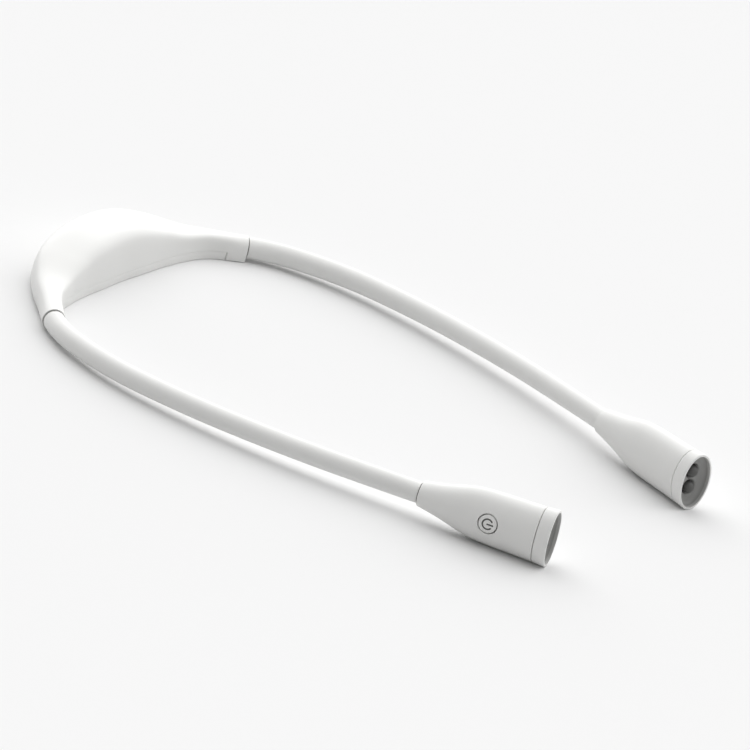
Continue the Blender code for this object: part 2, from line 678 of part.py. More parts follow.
def stretch(start, end, steps):
    return [start + (end - start) * i / steps for i in range(steps + 1)]


def ball_arc(radius, inner, outer, centre):
    """Points of a ball's surface about a pivot, from the inner radius out to the outer one."""
    angles = stretch(math.asin(inner / radius), math.asin(min(outer / radius, 1.0)), DOME_STEPS)
    return [(radius * math.sin(a), centre + radius * math.cos(a)) for a in angles]


def sleeve_profile(link):
    cup_radius = SLEEVE_RADIUS + GAP
    if link.index == 0:
        cup = [(SLEEVE_BORE_RADIUS, GAP), (SLEEVE_RADIUS, GAP)]
    else:
        cup = ball_arc(cup_radius, SLEEVE_BORE_RADIUS, SLEEVE_RADIUS, 0.0)
    if link.index == len(LINK_LENGTHS) - 1:
        dome = [(SLEEVE_RADIUS, link.length - GAP), (SLEEVE_BORE_RADIUS, link.length - GAP)]
    else:
        dome = ball_arc(SLEEVE_RADIUS, SLEEVE_BORE_RADIUS, SLEEVE_RADIUS, link.length)[::-1]
    bend_start = max(link.straight, cup[-1][1])
    outside = [(SLEEVE_RADIUS, y) for y in stretch(bend_start, dome[0][1], BEND_STEPS)[:-1]]
    outside = [p for p in outside if p[1] > cup[-1][1]]
    back = stretch(link.length, max(link.straight, cup[0][1]), BEND_STEPS)
    inside = [(SLEEVE_BORE_RADIUS, y) for y in back if cup[0][1] < y < dome[-1][1]]
    return cup + outside + dome + inside


def hose_profile(link):
    start = -HOSE_IN_HUB if link.index == 0 else SLEEVE_RADIUS + GAP
    end = link.length + (HOSE_IN_HEAD if link.index == len(LINK_LENGTHS) - 1 else HOSE_TIP)
    ys = stretch(start, min(link.length, end), BEND_STEPS) + [end]
    return [(HOSE_RADIUS, y) for y in ys] + [(HOSE_BORE_RADIUS, y) for y in reversed(ys)]


def build_arm(side, word):
    """Builds the arm's links under its joints, and returns the head's frame and parent."""
    frames = [PLANE @ frame for frame in plan_frames(side)]
    first = Link(0, side)
    ys = stretch(-FERRULE_LENGTH, 0.0, BEND_STEPS)
    inner = HOSE_RADIUS + GAP
    ferrule = [(inner + FERRULE_WALL, y) for y in ys] + [(inner, y) for y in reversed(ys)]
    bent_tube(f"arm_ferrule_{word}", first, ferrule, SLEEVE_SIDES, frames[0], "steel", STEEL)
    parent = None
    for index, frame in enumerate(frames[:-1]):
        link = Link(index, side)
        if index:
            parent = joint_empty(f"arm_{word}_{HINGE_AXES[index - 1]}_{index}", frame, parent)
        number = index + 1
        bent_tube(f"sleeve_{word}_{number}", link, sleeve_profile(link), SLEEVE_SIDES, frame,
                  "white_sleeve", SLEEVE_WHITE, parent)
        bent_tube(f"hose_{word}_{number}", link, hose_profile(link), HOSE_SIDES, frame,
                  "steel", STEEL, parent)
    return frames[-1], parent


# Lamp heads


def head_size(y, inset=0.0):
    """Half width and half height of the head's oval at a distance from its neck."""
    share = min(max(y / HEAD_LENGTH, 0.0), 1.0)
    swell = HEAD_SWELL_SHARES[-1]
    points = list(zip(HEAD_LENGTH_SHARES, HEAD_SWELL_SHARES))
    for (a, low), (b, high) in zip(points, points[1:]):
        if a <= share <= b:
            swell = low + (high - low) * (share - a) / (b - a)
            break
    width = NECK_RADIUS + (HEAD_HALF_WIDTH - NECK_RADIUS) * swell
    height = NECK_RADIUS + (HEAD_HALF_HEIGHT - NECK_RADIUS) * swell
    return width - inset, height - inset


def head_ring(y, inset=0.0):
    return oval(y, *head_size(y, inset))


def build_head_shell(frame, side, word, parent):
    front = HEAD_LENGTH - BEZEL_LENGTH - GAP
    stations = [HEAD_LENGTH * share for share in HEAD_LENGTH_SHARES if HEAD_LENGTH * share < front]
    cavity_start = NECK_BORE_LENGTH + HEAD_WALL
    outside = [head_ring(0.0, GAP), head_ring(GAP)]
    outside += [head_ring(y) for y in stations[1:]] + [head_ring(front)]
    inside = [head_ring(front, HEAD_WALL)]
    inside += [head_ring(y, HEAD_WALL) for y in reversed(stations) if y > cavity_start]
    inside.append(head_ring(cavity_start, HEAD_WALL))
    bore = [oval(y, SLEEVE_BORE_RADIUS, SLEEVE_BORE_RADIUS) for y in (NECK_BORE_LENGTH, 0.0)]
    name = f"head_shell_{word}"
    shell = add_object(name, loft(outside + inside + bore, name, closed=True), frame,
                       "white_plastic", WHITE, parent)
    hole_radius = BUTTON_RADIUS + GAP
    top = HEAD_HALF_WIDTH + OVERRUN
    hole = turned(f"button_hole_{word}", ((0.0, top), (hole_radius, top), (hole_radius, 0.0), (0.0, 0.0)),
                  button_frame(frame, side), "white_plastic", WHITE, 2 * SMALL_SIDES)
    boolean(shell, as_cutter(hole), "DIFFERENCE")


def build_bezel(frame, word, parent):
    back = HEAD_LENGTH - BEZEL_LENGTH
    ledge = HEAD_LENGTH - RECESS_DEPTH - LED_PLATE_THICKNESS - GAP
    spigot_outer = HEAD_WALL + GAP
    spigot_inner = spigot_outer + SPIGOT_WALL
    end = back - SPIGOT_LENGTH
    profile = ((0.0, back), (0.0, HEAD_LENGTH - BEZEL_ROUND), (BEZEL_ROUND, HEAD_LENGTH),
               (BEZEL_LIP, HEAD_LENGTH), (BEZEL_LIP + BEZEL_DRAFT, ledge), (spigot_inner, ledge),
               (spigot_inner, end), (spigot_outer, end), (spigot_outer, back))
    rings = [head_ring(y, inset) for inset, y in profile]
    name = f"bezel_{word}"
    add_object(name, loft(rings, name, closed=True), frame, "white_plastic", WHITE, parent)


def facing_front(frame, z, y):
    """A frame whose Z points out of the head's front."""
    return frame @ Matrix.Translation((0.0, y, z)) @ Matrix.Rotation(-math.pi / 2, 4, "X")


def build_lamp(frame, word, parent):
    """The front plate, the LED board behind it and the two LEDs that stand through the plate."""
    plate_front = HEAD_LENGTH - RECESS_DEPTH
    plate_back = plate_front - LED_PLATE_THICKNESS
    inset = BEZEL_LIP + BEZEL_DRAFT + GAP
    name = f"led_plate_{word}"
    rings = [head_ring(plate_back, inset), head_ring(plate_front, inset)]
    plate = add_object(name, loft(rings, name), frame, "grey_plastic", GREY, parent)

    board_front = HEAD_LENGTH - LED_BOARD_SETBACK
    inset = HEAD_WALL + SPIGOT_WALL + 2 * GAP
    name = f"led_board_{word}"
    rings = [head_ring(board_front - LED_BOARD_THICKNESS, inset), head_ring(board_front, inset)]
    add_object(name, loft(rings, name), frame, "circuit_board", GREEN, parent)

    base = board_front + GAP
    top = plate_front + LED_PROUD - base
    dome = [(LED_DOME_RADIUS * math.sin(a), top - LED_DOME_RADIUS * (1 - math.cos(a)))
            for a in stretch(0.0, math.pi / 2, DOME_STEPS)]
    profile = dome + [(LED_RADIUS, LED_FLANGE_THICKNESS), (LED_FLANGE_RADIUS, LED_FLANGE_THICKNESS),
                      (LED_FLANGE_RADIUS, 0.0), (0.0, 0.0)]
    hole_radius = LED_RADIUS + GAP
    hole = ((0.0, HEAD_LENGTH - base), (hole_radius, HEAD_LENGTH - base), (hole_radius, 0.0), (0.0, 0.0))
    for place, z in (("upper", LED_OFFSET), ("lower", -LED_OFFSET)):
        there = facing_front(frame, z, base)
        turned(f"led_{place}_{word}", profile, there, "led_clear", CLEAR, SMALL_SIDES, parent=parent)
        cutter = turned(f"led_hole_{place}_{word}", hole, there, "grey_plastic", GREY, SLEEVE_SIDES)
        boolean(plate, as_cutter(cutter), "DIFFERENCE")


def button_frame(frame, side):
    """A frame on the head's axis behind the button, whose Z points out of the head's outer side."""
    return frame @ Matrix.Translation((0.0, BUTTON_AT, 0.0)) @ Matrix.Rotation(-side * math.pi / 2, 4, "Y")


def build_button(frame, side, word, parent):
    """The button cap and the plunger that it presses, which slide together into the head."""
    there = button_frame(frame, side)
    empty = joint_empty(f"button_{word}_slide", there, parent)
    top = HEAD_HALF_WIDTH + OVERRUN
    cap_profile = ((0.0, top), (BUTTON_RADIUS, top), (BUTTON_RADIUS, BUTTON_FLANGE_OUTER),
                   (BUTTON_FLANGE_RADIUS, BUTTON_FLANGE_OUTER), (BUTTON_FLANGE_RADIUS, BUTTON_FLANGE_INNER),
                   (0.0, BUTTON_FLANGE_INNER))
    cap = turned(f"button_cap_{word}", cap_profile, there, "white_plastic", WHITE, 2 * SMALL_SIDES,
                 parent=empty)
    reach = BUTTON_FLANGE_RADIUS + OVERRUN
    ys = stretch(BUTTON_AT - reach, BUTTON_AT + reach, BEND_STEPS)
    cover = add_object(f"button_cover_{word}", loft([head_ring(y, -BUTTON_PROUD) for y in ys], "cover"),
                       frame, "white_plastic", WHITE)
    boolean(cap, as_cutter(cover), "INTERSECT")
    plunger_top = BUTTON_FLANGE_INNER - GAP
    plunger = ((0.0, plunger_top), (PLUNGER_RADIUS, plunger_top), (PLUNGER_RADIUS, PLUNGER_START),
               (0.0, PLUNGER_START))
    turned(f"switch_plunger_{word}", plunger, there, "black_plastic", BLACK, parent=empty)


def build_switch(frame, side, word, parent):
    """The switch behind the button, on its board, and the lead that reaches the board."""
    there = button_frame(frame, side)
    board_middle = SWITCH_BOARD_FACE - SWITCH_BOARD_THICKNESS / 2
    size = (2 * SWITCH_BOARD_HALF_HEIGHT, SWITCH_BOARD_LENGTH, SWITCH_BOARD_THICKNESS)
    block(f"switch_board_{word}", size, there @ Matrix.Translation((0.0, 0.0, board_middle)),
          "circuit_board", GREEN, parent)
    low = SWITCH_BOARD_FACE + GAP
    middle = there @ Matrix.Translation((0.0, 0.0, low + SWITCH_HEIGHT / 2))
    switch = block(f"switch_body_{word}", (SWITCH_SIZE, SWITCH_SIZE, SWITCH_HEIGHT), middle,
                   "black_plastic", BLACK, parent)
    bore_radius = PLUNGER_RADIUS + GAP
    bottom = PLUNGER_START - BUTTON_TRAVEL - GAP
    top = low + SWITCH_HEIGHT + OVERRUN
    profile = ((0.0, top), (bore_radius, top), (bore_radius, bottom), (0.0, bottom))
    bore = turned(f"switch_bore_{word}", profile, there, "black_plastic", BLACK)
    boolean(switch, as_cutter(bore), "DIFFERENCE")
    edge = BUTTON_AT - SWITCH_BOARD_LENGTH / 2 - GAP
    offset = -side * board_middle
    mouth = NECK_BORE_LENGTH - LEAD_RADIUS
    third = (edge - mouth) / 3
    route = [Vector((0.0, mouth, 0.0)), Vector((0.0, mouth + third, 0.0)),
             Vector((offset, edge - third, 0.0)), Vector((offset, edge, 0.0))]
    tube(f"head_lead_{word}", through(route, LEAD_STEPS), LEAD_RADIUS, frame,
         "lead_black", BLACK, 1, parent)


def build():
    build_hub_shells()
    build_hub_screws()
    build_battery_door()
    build_batteries()
    for side, word in ((-1, "left"), (1, "right")):
        build_hub_lead(side, word)
        frame, parent = build_arm(side, word)
        build_head_shell(frame, side, word, parent)
        build_bezel(frame, word, parent)
        build_lamp(frame, word, parent)
        build_button(frame, side, word, parent)
        build_switch(frame, side, word, parent)


build()
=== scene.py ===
import math

import bmesh
import bpy
from mathutils import Matrix, Vector


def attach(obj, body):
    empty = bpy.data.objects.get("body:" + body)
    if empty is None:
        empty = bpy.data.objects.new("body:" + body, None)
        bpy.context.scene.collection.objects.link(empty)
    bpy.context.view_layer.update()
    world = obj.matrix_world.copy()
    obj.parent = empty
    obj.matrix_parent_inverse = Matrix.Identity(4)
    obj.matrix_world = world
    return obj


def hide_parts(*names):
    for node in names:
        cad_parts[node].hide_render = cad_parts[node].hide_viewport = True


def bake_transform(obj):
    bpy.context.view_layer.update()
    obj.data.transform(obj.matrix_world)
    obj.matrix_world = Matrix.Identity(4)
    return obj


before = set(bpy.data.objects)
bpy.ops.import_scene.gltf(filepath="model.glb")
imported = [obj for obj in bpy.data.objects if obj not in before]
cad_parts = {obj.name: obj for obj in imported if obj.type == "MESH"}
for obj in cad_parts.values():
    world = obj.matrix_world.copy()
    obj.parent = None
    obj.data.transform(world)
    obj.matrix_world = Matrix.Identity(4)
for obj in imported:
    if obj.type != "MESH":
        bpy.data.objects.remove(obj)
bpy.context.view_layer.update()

# Clearance between neighbouring pieces, the small round edges of moulded plastic, how far a cutter
# overruns what it cuts, and the distances at which points count as one and a face as a sliver
GAP = 0.0003
SOFT_EDGE = 0.00025
OVERRUN = 0.002
WELD_WIDTH = 0.000001
SLIVER_WIDTH = 0.000003

# Arms
SLEEVE_RADIUS = 0.0041
SLEEVE_BORE_RADIUS = 0.0030
HOSE_IN_HUB = 0.0095
LINK_LENGTHS = (0.022, 0.034, 0.042, 0.046, 0.0305)
LINK_TURNS = (26.0, 16.4, 8.0, 6.1, 1.1)
LINK_STRAIGHT = 0.0044
ARM_START_HEADING = 42.5
SLEEVE_STEP = 0.001
SLEEVE_SIDES = 48
COLLAR_SLIT = 0.0005
NECK_SLIT = 0.0005
# Dark rings in the joint lines at the collar and the neck, which paint the shade of these gaps
COLLAR_SHADE_RING_RADIUS = 0.0037
NECK_SHADE_RING_RADIUS = 0.0039
SHADE_RING_EDGE = 0.0001
SHADE_RING_PLAY = 0.1

# Battery housing
CELL_RADIUS = 0.0050
CELL_LENGTH = 0.0445
CELL_PITCH = 2 * CELL_RADIUS + GAP
SPRING_LENGTH = 0.0049
BAY_SLACK = 0.0012
BAY_CLEARANCE = 0.00025
BAY_HALF_LENGTH = (CELL_LENGTH + SPRING_LENGTH + 2 * GAP) / 2
COLLAR_RADIUS = 0.0045
COLLAR_HEIGHT = 0.0046
COLLAR_BORE_RADIUS = 0.0034
COLLAR_MOUTH_RADIUS = 0.00415
COLLAR_MOUTH_DEPTH = 0.0006
HOSE_HOLE_RADIUS = 0.0027
FERRULE_LENGTH = 0.0078
HUB_WALL = 0.0012
HUB_SHOULDER = 0.04135
COLLAR_X = BAY_HALF_LENGTH + HUB_SHOULDER
HUB_INNER_Y = 0.0133
HUB_DEPTH = HUB_INNER_Y + 2 * HUB_WALL + CELL_PITCH + 2 * CELL_RADIUS + BAY_SLACK
HUB_HEIGHT = 0.0200
HUB_OUTER_EDGE_RADIUS = 0.0030
HUB_INNER_EDGE_RADIUS = 0.0005
HUB_STATION_SHARES = (0.0, 0.2, 0.4, 0.6, 0.8, 1.0)
HUB_OUTER_BAY_SHARES = (0.0, 0.676, 1.0, 1.0, 1.0)
HUB_OUTER_SHOULDER_SHARES = (0.0, 0.0, 0.212, 0.560, 0.856)
HUB_OUTER_Y_SHARES = (1.0, 0.982, 0.866, 0.596, 0.290)
HUB_INNER_BAY_SHARES = (0.0, 0.580, 1.0, 1.0, 1.0)
HUB_INNER_SHOULDER_SHARES = (0.0, 0.0, 0.085, 0.387, 0.662)
HUB_INNER_Y_SHARES = (1.0, 0.970, 0.935, 0.805, 0.470)
HUB_TOP_SHARES = (1.0, 0.925, 0.730, 0.532, 0.478)
HUB_OUTER_CROWN_POWERS = (3.6, 3.6, 3.6, 3.2, 2.6, 2.0)
HUB_INNER_CROWN_POWERS = (5.0, 5.0, 5.0, 5.0, 3.6, 2.0)
HUB_INNER_LEAN = 0.0018
HUB_INNER_LEAN_SHARES = (1.0, 1.0, 1.0, 0.9, 0.2, 0.0)
HUB_OUTER_EDGE_SHARES = (0.0, 0.0, 0.0, 0.1, 0.4, 1.0)
HUB_INNER_EDGE_SHARES = (0.0, 0.0, 0.0, 0.0, 0.0, 0.1)
CAVITY_END_SHARE = 0.8
HUB_STEPS = 128
CAVITY_STEPS = 60
CROWN_STEPS = 36
EDGE_STEPS = 6

# Lower shell, screws and battery door
PARTING_HEIGHT = 0.0035
SEAM = 0.00006
END_GAP = 0.00055
LOWER_SHELL_FROM_COLLAR = 0.00935
LOWER_SHELL_X = COLLAR_X - LOWER_SHELL_FROM_COLLAR
BOSS_FROM_BAY = 0.0085
BOSS_X = BAY_HALF_LENGTH + BOSS_FROM_BAY
BOSS_Y = 0.0177
FOOT_BOSS_RADIUS = 0.0030
FOOT_BOSS_HEIGHT = 0.0032
PILOT_RADIUS = 0.0012
PILOT_DEPTH = 0.0080
BOSS_RADIUS = 0.0024
CONTACT_THICKNESS = 0.0004
RIB_THICKNESS = 0.0012
RIB_HEIGHT = 0.0120
SCREW_HEAD_RADIUS = 0.0019
SCREW_RECESS = 0.0018
CELL_LEAN_SHARE = 0.6
CELL_ROW_Y = (HUB_INNER_Y - CELL_LEAN_SHARE * HUB_INNER_LEAN + HUB_WALL + BAY_CLEARANCE
              + CELL_RADIUS + CELL_PITCH / 2)
DOOR_LENGTH = 0.0500
DOOR_WIDTH = 0.0170
DOOR_THICKNESS = 0.0012
DOOR_RECESS = 0.0003
DOOR_CORNER = 0.0010
DOOR_CORNER_STEPS = 8
GRIP_RADIUS = 0.0006
GRIP_DEPTH = 0.0004
GRIP_LENGTH = 0.0090
GRIP_PITCH = 0.0034
GRIP_COUNT = 3
GRIP_FROM_END = 0.0083
GRIP_X = DOOR_LENGTH / 2 - GRIP_FROM_END
GRIP_STEPS = 12
GRIP_SIDES = 24
GRIP_END_POWER = 8
GRIP_END_SHARE = 0.03
SCREW_HEAD_HEIGHT = 0.0012
SCREW_HEAD_ROUND = 0.0004
SCREW_SHANK_RADIUS = 0.0009
SCREW_LENGTH = 0.0080
SCREW_THREAD_DEPTH = 0.00012
SCREW_THREAD_STEP = 0.0002
SCREW_THREAD_STEPS = 29
# The cross recess: half length of its arms at heights over the head's face, and how slim the arms are
SCREW_CROSS_STATIONS = ((0.0013, -0.0001), (0.0012, 0.0003), (0.0005, 0.0006))
SCREW_CROSS_SLIM = 0.6 / 3.4

# Cells: the nub, and how far in from the side the wrap's lip, its crest and the can's edge lie
CELL_NUB_RADIUS = 0.0019
CELL_NUB_HEIGHT = 0.0009
CELL_NUB_EDGE = 0.0002
CELL_LIP = 0.0012
CELL_CREST = 0.0010
CELL_CREST_HEIGHT = 0.0001
CELL_EDGE = 0.0003
CELL_EDGE_HEIGHT = 0.0004

# Lamp heads
NECK_RADIUS = 0.0050
HEAD_HALF_WIDTH = 0.00755
HEAD_HALF_HEIGHT = 0.0115
HEAD_LENGTH = 0.0534
HEAD_LENGTH_SHARES = (0.0, 0.105, 0.176, 0.268, 0.352, 0.436, 0.513, 0.590, 0.738, 0.886, 1.0)
HEAD_SWELL_SHARES = (0.0, 0.170, 0.300, 0.510, 0.705, 0.820, 0.870, 0.891, 0.915, 0.950, 1.0)
HEAD_WALL = 0.0015
HEAD_SIDES = 96
HEAD_STEP = 0.0008
NECK_BORE_LENGTH = 0.0062
NECK_BORE_RADIUS = 0.0027
BEZEL_LENGTH = 0.0052
BEZEL_LIP = 0.0010
BEZEL_ROUND = 0.0004
BEZEL_DRAFT = 0.0003
SPIGOT_LENGTH = 0.0020
SPIGOT_WALL = 0.0010
RECESS_DEPTH = 0.0032
LED_PLATE_THICKNESS = 0.0012
PLATE_FRONT = HEAD_LENGTH - RECESS_DEPTH
PLATE_BACK = PLATE_FRONT - LED_PLATE_THICKNESS
BEZEL_BACK = HEAD_LENGTH - BEZEL_LENGTH
BEZEL_LEDGE = PLATE_BACK - GAP
LED_BOARD_SETBACK = 0.0070
LED_RADIUS = 0.0025
LED_FLANGE_RADIUS = 0.0029
LED_FLANGE_THICKNESS = 0.0010
LED_OFFSET = 0.0033
LED_PROUD = 0.0022
DISH_ROUND = 0.0020
PLATE_FIT = 0.00006
LED_SIDES = 64

# Power button
BUTTON_AT = 0.0293
BUTTON_RADIUS = 0.0038
CAP_RADIUS = 0.00355
CAP_EDGE = 0.00015
BUTTON_PROUD = 0.00015
BUTTON_FLANGE_RADIUS = 0.0046
BUTTON_FLANGE_SETBACK = 0.00285
BUTTON_FLANGE_THICKNESS = 0.0007
BUTTON_FLANGE_OUTER = HEAD_HALF_WIDTH - BUTTON_FLANGE_SETBACK
BUTTON_FLANGE_INNER = BUTTON_FLANGE_OUTER - BUTTON_FLANGE_THICKNESS
BUTTON_SIDES = 96
CAP_RINGS = 16
SYMBOL_RADIUS = 0.00200
SYMBOL_STROKE = 0.00062
SYMBOL_DEPTH = 0.00022
SYMBOL_OPENING = 82.0
SYMBOL_BAR = (-0.0001, 0.0021)
SYMBOL_ARC_STEPS = 48
SYMBOL_BAR_STEPS = 8
# Round ends of the symbol's strokes, as angles from full width to nearly a point
SYMBOL_END_ANGLES = (math.radians(84), math.radians(15))


# Shapes


def smooth(mesh, angle=35.0):
    mesh.shade_smooth()
    mesh.set_sharp_from_angle(angle=math.radians(angle))
    return mesh


def mesh_from(bm, name):
    bmesh.ops.remove_doubles(bm, verts=bm.verts, dist=WELD_WIDTH)
    bmesh.ops.recalc_face_normals(bm, faces=bm.faces)
    mesh = bpy.data.meshes.new(name)
    bm.to_mesh(mesh)
    bm.free()
    return smooth(mesh)


def loft(name, rings, closed=False):
    """A body through rings of equal point counts: capped at both ends, or closed back on itself."""
    bm = bmesh.new()
    loops = [[bm.verts.new(p) for p in ring] for ring in rings]
    pairs = list(zip(loops, loops[1:]))
    if closed:
        pairs.append((loops[-1], loops[0]))
    for here, there in pairs:
        for i in range(len(here)):
            j = (i + 1) % len(here)
            bm.faces.new((here[i], here[j], there[j], there[i]))
    if not closed:
        bm.faces.new(loops[0])
        bm.faces.new(loops[-1])
    return mesh_from(bm, name)


def circle(radius, height, place, sides):
    """Points of a circle about the place's own Z."""
    turn = 2 * math.pi / sides
    spots = [(radius * math.cos(i * turn), radius * math.sin(i * turn), height) for i in range(sides)]
    return [place @ Vector(spot) for spot in spots]


def turned(name, profile, place, sides):
    """A solid of (radius, height) points turned about the place's own Z; it starts and ends on the axis."""
    bm = bmesh.new()
    rings = []
    for radius, height in profile:
        if radius < WELD_WIDTH:
            rings.append([bm.verts.new(place @ Vector((0.0, 0.0, height)))])
        else:
            rings.append([bm.verts.new(p) for p in circle(radius, height, place, sides)])
    for here, there in zip(rings, rings[1:]):
        for i in range(sides):
            j = (i + 1) % sides
            corners = [here[i % len(here)], here[j % len(here)], there[j % len(there)], there[i % len(there)]]
            bm.faces.new(list(dict.fromkeys(corners)))
    return mesh_from(bm, name)


def rod(radius, low, high):
    """The profile of a plain round rod, for turned."""
    return (0.0, high), (radius, high), (radius, low), (0.0, low)


def box_mesh(name, low, high):
    bm = bmesh.new()
    bmesh.ops.create_cube(bm, size=1.0)
    low, high = Vector(low), Vector(high)
    for vert in bm.verts:
        vert.co = Vector(((low[i] + high[i]) / 2 + vert.co[i] * (high[i] - low[i]) for i in range(3)))
    return mesh_from(bm, name)


def drop_slivers(mesh):
    """Splits a cut mesh's many-sided faces, and takes out the slivers that have no width."""
    bm = bmesh.new()
    bm.from_mesh(mesh)
    bmesh.ops.remove_doubles(bm, verts=bm.verts, dist=SLIVER_WIDTH)
    bmesh.ops.triangulate(bm, faces=[face for face in bm.faces if len(face.verts) > 4])
    bmesh.ops.dissolve_degenerate(bm, dist=SLIVER_WIDTH, edges=bm.edges)
    bm.to_mesh(mesh)
    bm.free()
    return mesh


def add_object(name, data):
    ob = bpy.data.objects.new(name, data)
    bpy.context.scene.collection.objects.link(ob)
    return ob


def carve(mesh, other, operation="DIFFERENCE"):
    """Cuts one mesh by another, or joins them, and gives back the result."""
    body, tool = add_object("carved", mesh), add_object("tool", other)
    modifier = body.modifiers.new("cut", "BOOLEAN")
    modifier.operation = operation
    modifier.object = tool
    bpy.context.view_layer.update()
    cut_body = body.evaluated_get(bpy.context.evaluated_depsgraph_get())
    result = bpy.data.meshes.new_from_object(cut_body)
    result.name = mesh.name
    for ob in (body, tool):
        bpy.data.objects.remove(ob)
    return smooth(drop_slivers(result))


def show(name, mesh, finishes, body, *nodes):
    """Links a finished piece, which moves with a body of the frame and stands for its nodes."""
    piece = add_object(name, mesh)
    mesh.materials.clear()
    for finish in finishes:
        mesh.materials.append(finish)
    if body:
        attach(piece, body)
    if nodes:
        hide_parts(*nodes)
    return piece


def oval(y, half_width, half_height, sides):
    turn = 2 * math.pi / sides
    return [Vector((half_width * math.cos(i * turn), y, half_height * math.sin(i * turn)))
            for i in range(sides)]


def stretch(start, end, steps):
    """Even steps from start to end, both included."""
    return [start + (end - start) * i / steps for i in range(steps + 1)]


def round_edge(radius, steps=4):
    """A quarter-round edge, as (distance from the end, distance in from the side), from side to end."""
    angles = stretch(0.0, math.pi / 2, steps)
    return [(radius * (1 - math.sin(a)), radius * (1 - math.cos(a))) for a in angles]


# Where the arms run. All links lie in one plane, which rises towards the heads.


class Link:
    """One stretch of arm: a short straight, then an arc up to the next pivot."""

    def __init__(self, index, side):
        self.side = side
        self.length = LINK_LENGTHS[index]
        self.straight = 0.0 if index == 0 else LINK_STRAIGHT
        self.low = -HOSE_IN_HUB if index == 0 else self.straight
        self.turn = math.radians(LINK_TURNS[index])

    def along(self, y):
        """Centre and heading change at the distance y from the link's start, in its own frame."""
        rate = self.turn / (self.length - self.straight)
        on_arc = min(max(y, self.low), self.length) - self.straight
        angle = rate * on_arc
        centre = Vector(((1 - math.cos(angle)) / rate, self.straight + math.sin(angle) / rate, 0.0))
        ahead = y - self.straight - on_arc
        centre += ahead * Vector((math.sin(angle), math.cos(angle), 0.0))
        return Vector((self.side * centre.x, centre.y, 0.0)), -self.side * angle

    def bend(self, point):
        centre, angle = self.along(point.y)
        return centre + Matrix.Rotation(angle, 3, "Z") @ Vector((point.x, 0.0, point.z))

    def end_frame(self):
        centre, angle = self.along(self.length)
        return Matrix.Translation(centre) @ Matrix.Rotation(angle, 4, "Z")


def plan_frames(side):
    """Frames of the collar, the four pivots and the head's neck, in the plane of the arms."""
    turn = math.pi + side * math.radians(ARM_START_HEADING)
    frames = [Matrix.Translation((side * COLLAR_X, 0.0, 0.0)) @ Matrix.Rotation(turn, 4, "Z")]
    for index in range(len(LINK_LENGTHS)):
        frames.append(frames[-1] @ Link(index, side).end_frame())
    return frames


def arm_plane():
    """Places the plane of the arms so that both rims and the housing touch z = 0, centred along Y."""
    neck = plan_frames(1)[-1]
    rim = neck @ Vector((0.0, HEAD_LENGTH, 0.0))
    reach = -rim.y
    radius = math.hypot(reach, HEAD_HALF_HEIGHT)
    pitch = math.atan2(HEAD_HALF_HEIGHT, reach) - math.asin(COLLAR_HEIGHT / radius)
    heading = neck.to_3x3() @ Vector((1.0, 0.0, 0.0))
    beyond = math.hypot(HEAD_HALF_WIDTH * heading.y * math.cos(pitch), HEAD_HALF_HEIGHT * math.sin(pitch))
    front = reach * math.cos(pitch) + beyond
    middle = (front - HUB_DEPTH) / 2
    return Matrix.Translation((0.0, middle, COLLAR_HEIGHT)) @ Matrix.Rotation(-pitch, 4, "X")


PLANE = arm_plane()
HUB_Y = PLANE.translation.y


# Materials

# Sizes of the patterns: drift of colour and rubbed gloss in plastic, flow marks in epoxy, glass weave
# and mottle of the solder mask
DRIFT_MM = 22.0
RUB_MM = 6.0
FLOW_MM = 1.5
WEAVE_MM = 0.5
MASK_MM = 0.8
# Most of a noise pattern lies between these values
NOISE_LOW = 0.3
NOISE_HIGH = 0.7


def linear(hex_colour):
    """A colour in sRGB hex, as the linear colour that a socket takes."""
    parts = [int(hex_colour[i:i + 2], 16) / 255 for i in (1, 3, 5)]
    return (*[c / 12.92 if c <= 0.04045 else ((c + 0.055) / 1.055) ** 2.4 for c in parts], 1.0)


def node(tree, kind, settings=(), inputs=(), links=()):
    """Adds a node with its settings and input values, and links other nodes' outputs to it."""
    made = tree.nodes.new(kind)
    for key, value in dict(settings).items():
        setattr(made, key, value)
    for key, value in dict(inputs).items():
        made.inputs[key].default_value = value
    for key, output in dict(links).items():
        tree.links.new(output, made.inputs[key])
    return made


def new_finish(name):
    """An empty material and its node tree."""
    finish = bpy.data.materials.new(name)
    finish.use_nodes = True
    finish.node_tree.nodes.clear()
    return finish, finish.node_tree


def millimetres(tree):
    """The place on the object in millimetres, on which the patterns are laid out."""
    place = node(tree, "ShaderNodeTexCoord")
    scaled = node(tree, "ShaderNodeVectorMath", {"operation": "SCALE"}, {"Scale": 1000.0},
                  {0: place.outputs["Object"]})
    return scaled.outputs[0]


def close_finish(tree, colour, gloss, roughness, height, depth_mm, inputs):
    """Ends a material: its colour, a roughness that drifts between two values, and its relief."""
    drift = node(tree, "ShaderNodeMapRange", {},
                 {1: NOISE_LOW, 2: NOISE_HIGH, 3: roughness[0], 4: roughness[1]}, {0: gloss})
    relief = node(tree, "ShaderNodeBump", {}, {"Strength": 1.0, "Distance": depth_mm / 1000},
                  {"Height": height})
    shader = node(tree, "ShaderNodeBsdfPrincipled", {}, inputs,
                  {"Base Color": colour, "Roughness": drift.outputs[0], "Normal": relief.outputs[0]})
    node(tree, "ShaderNodeOutputMaterial", links={"Surface": shader.outputs[0]})


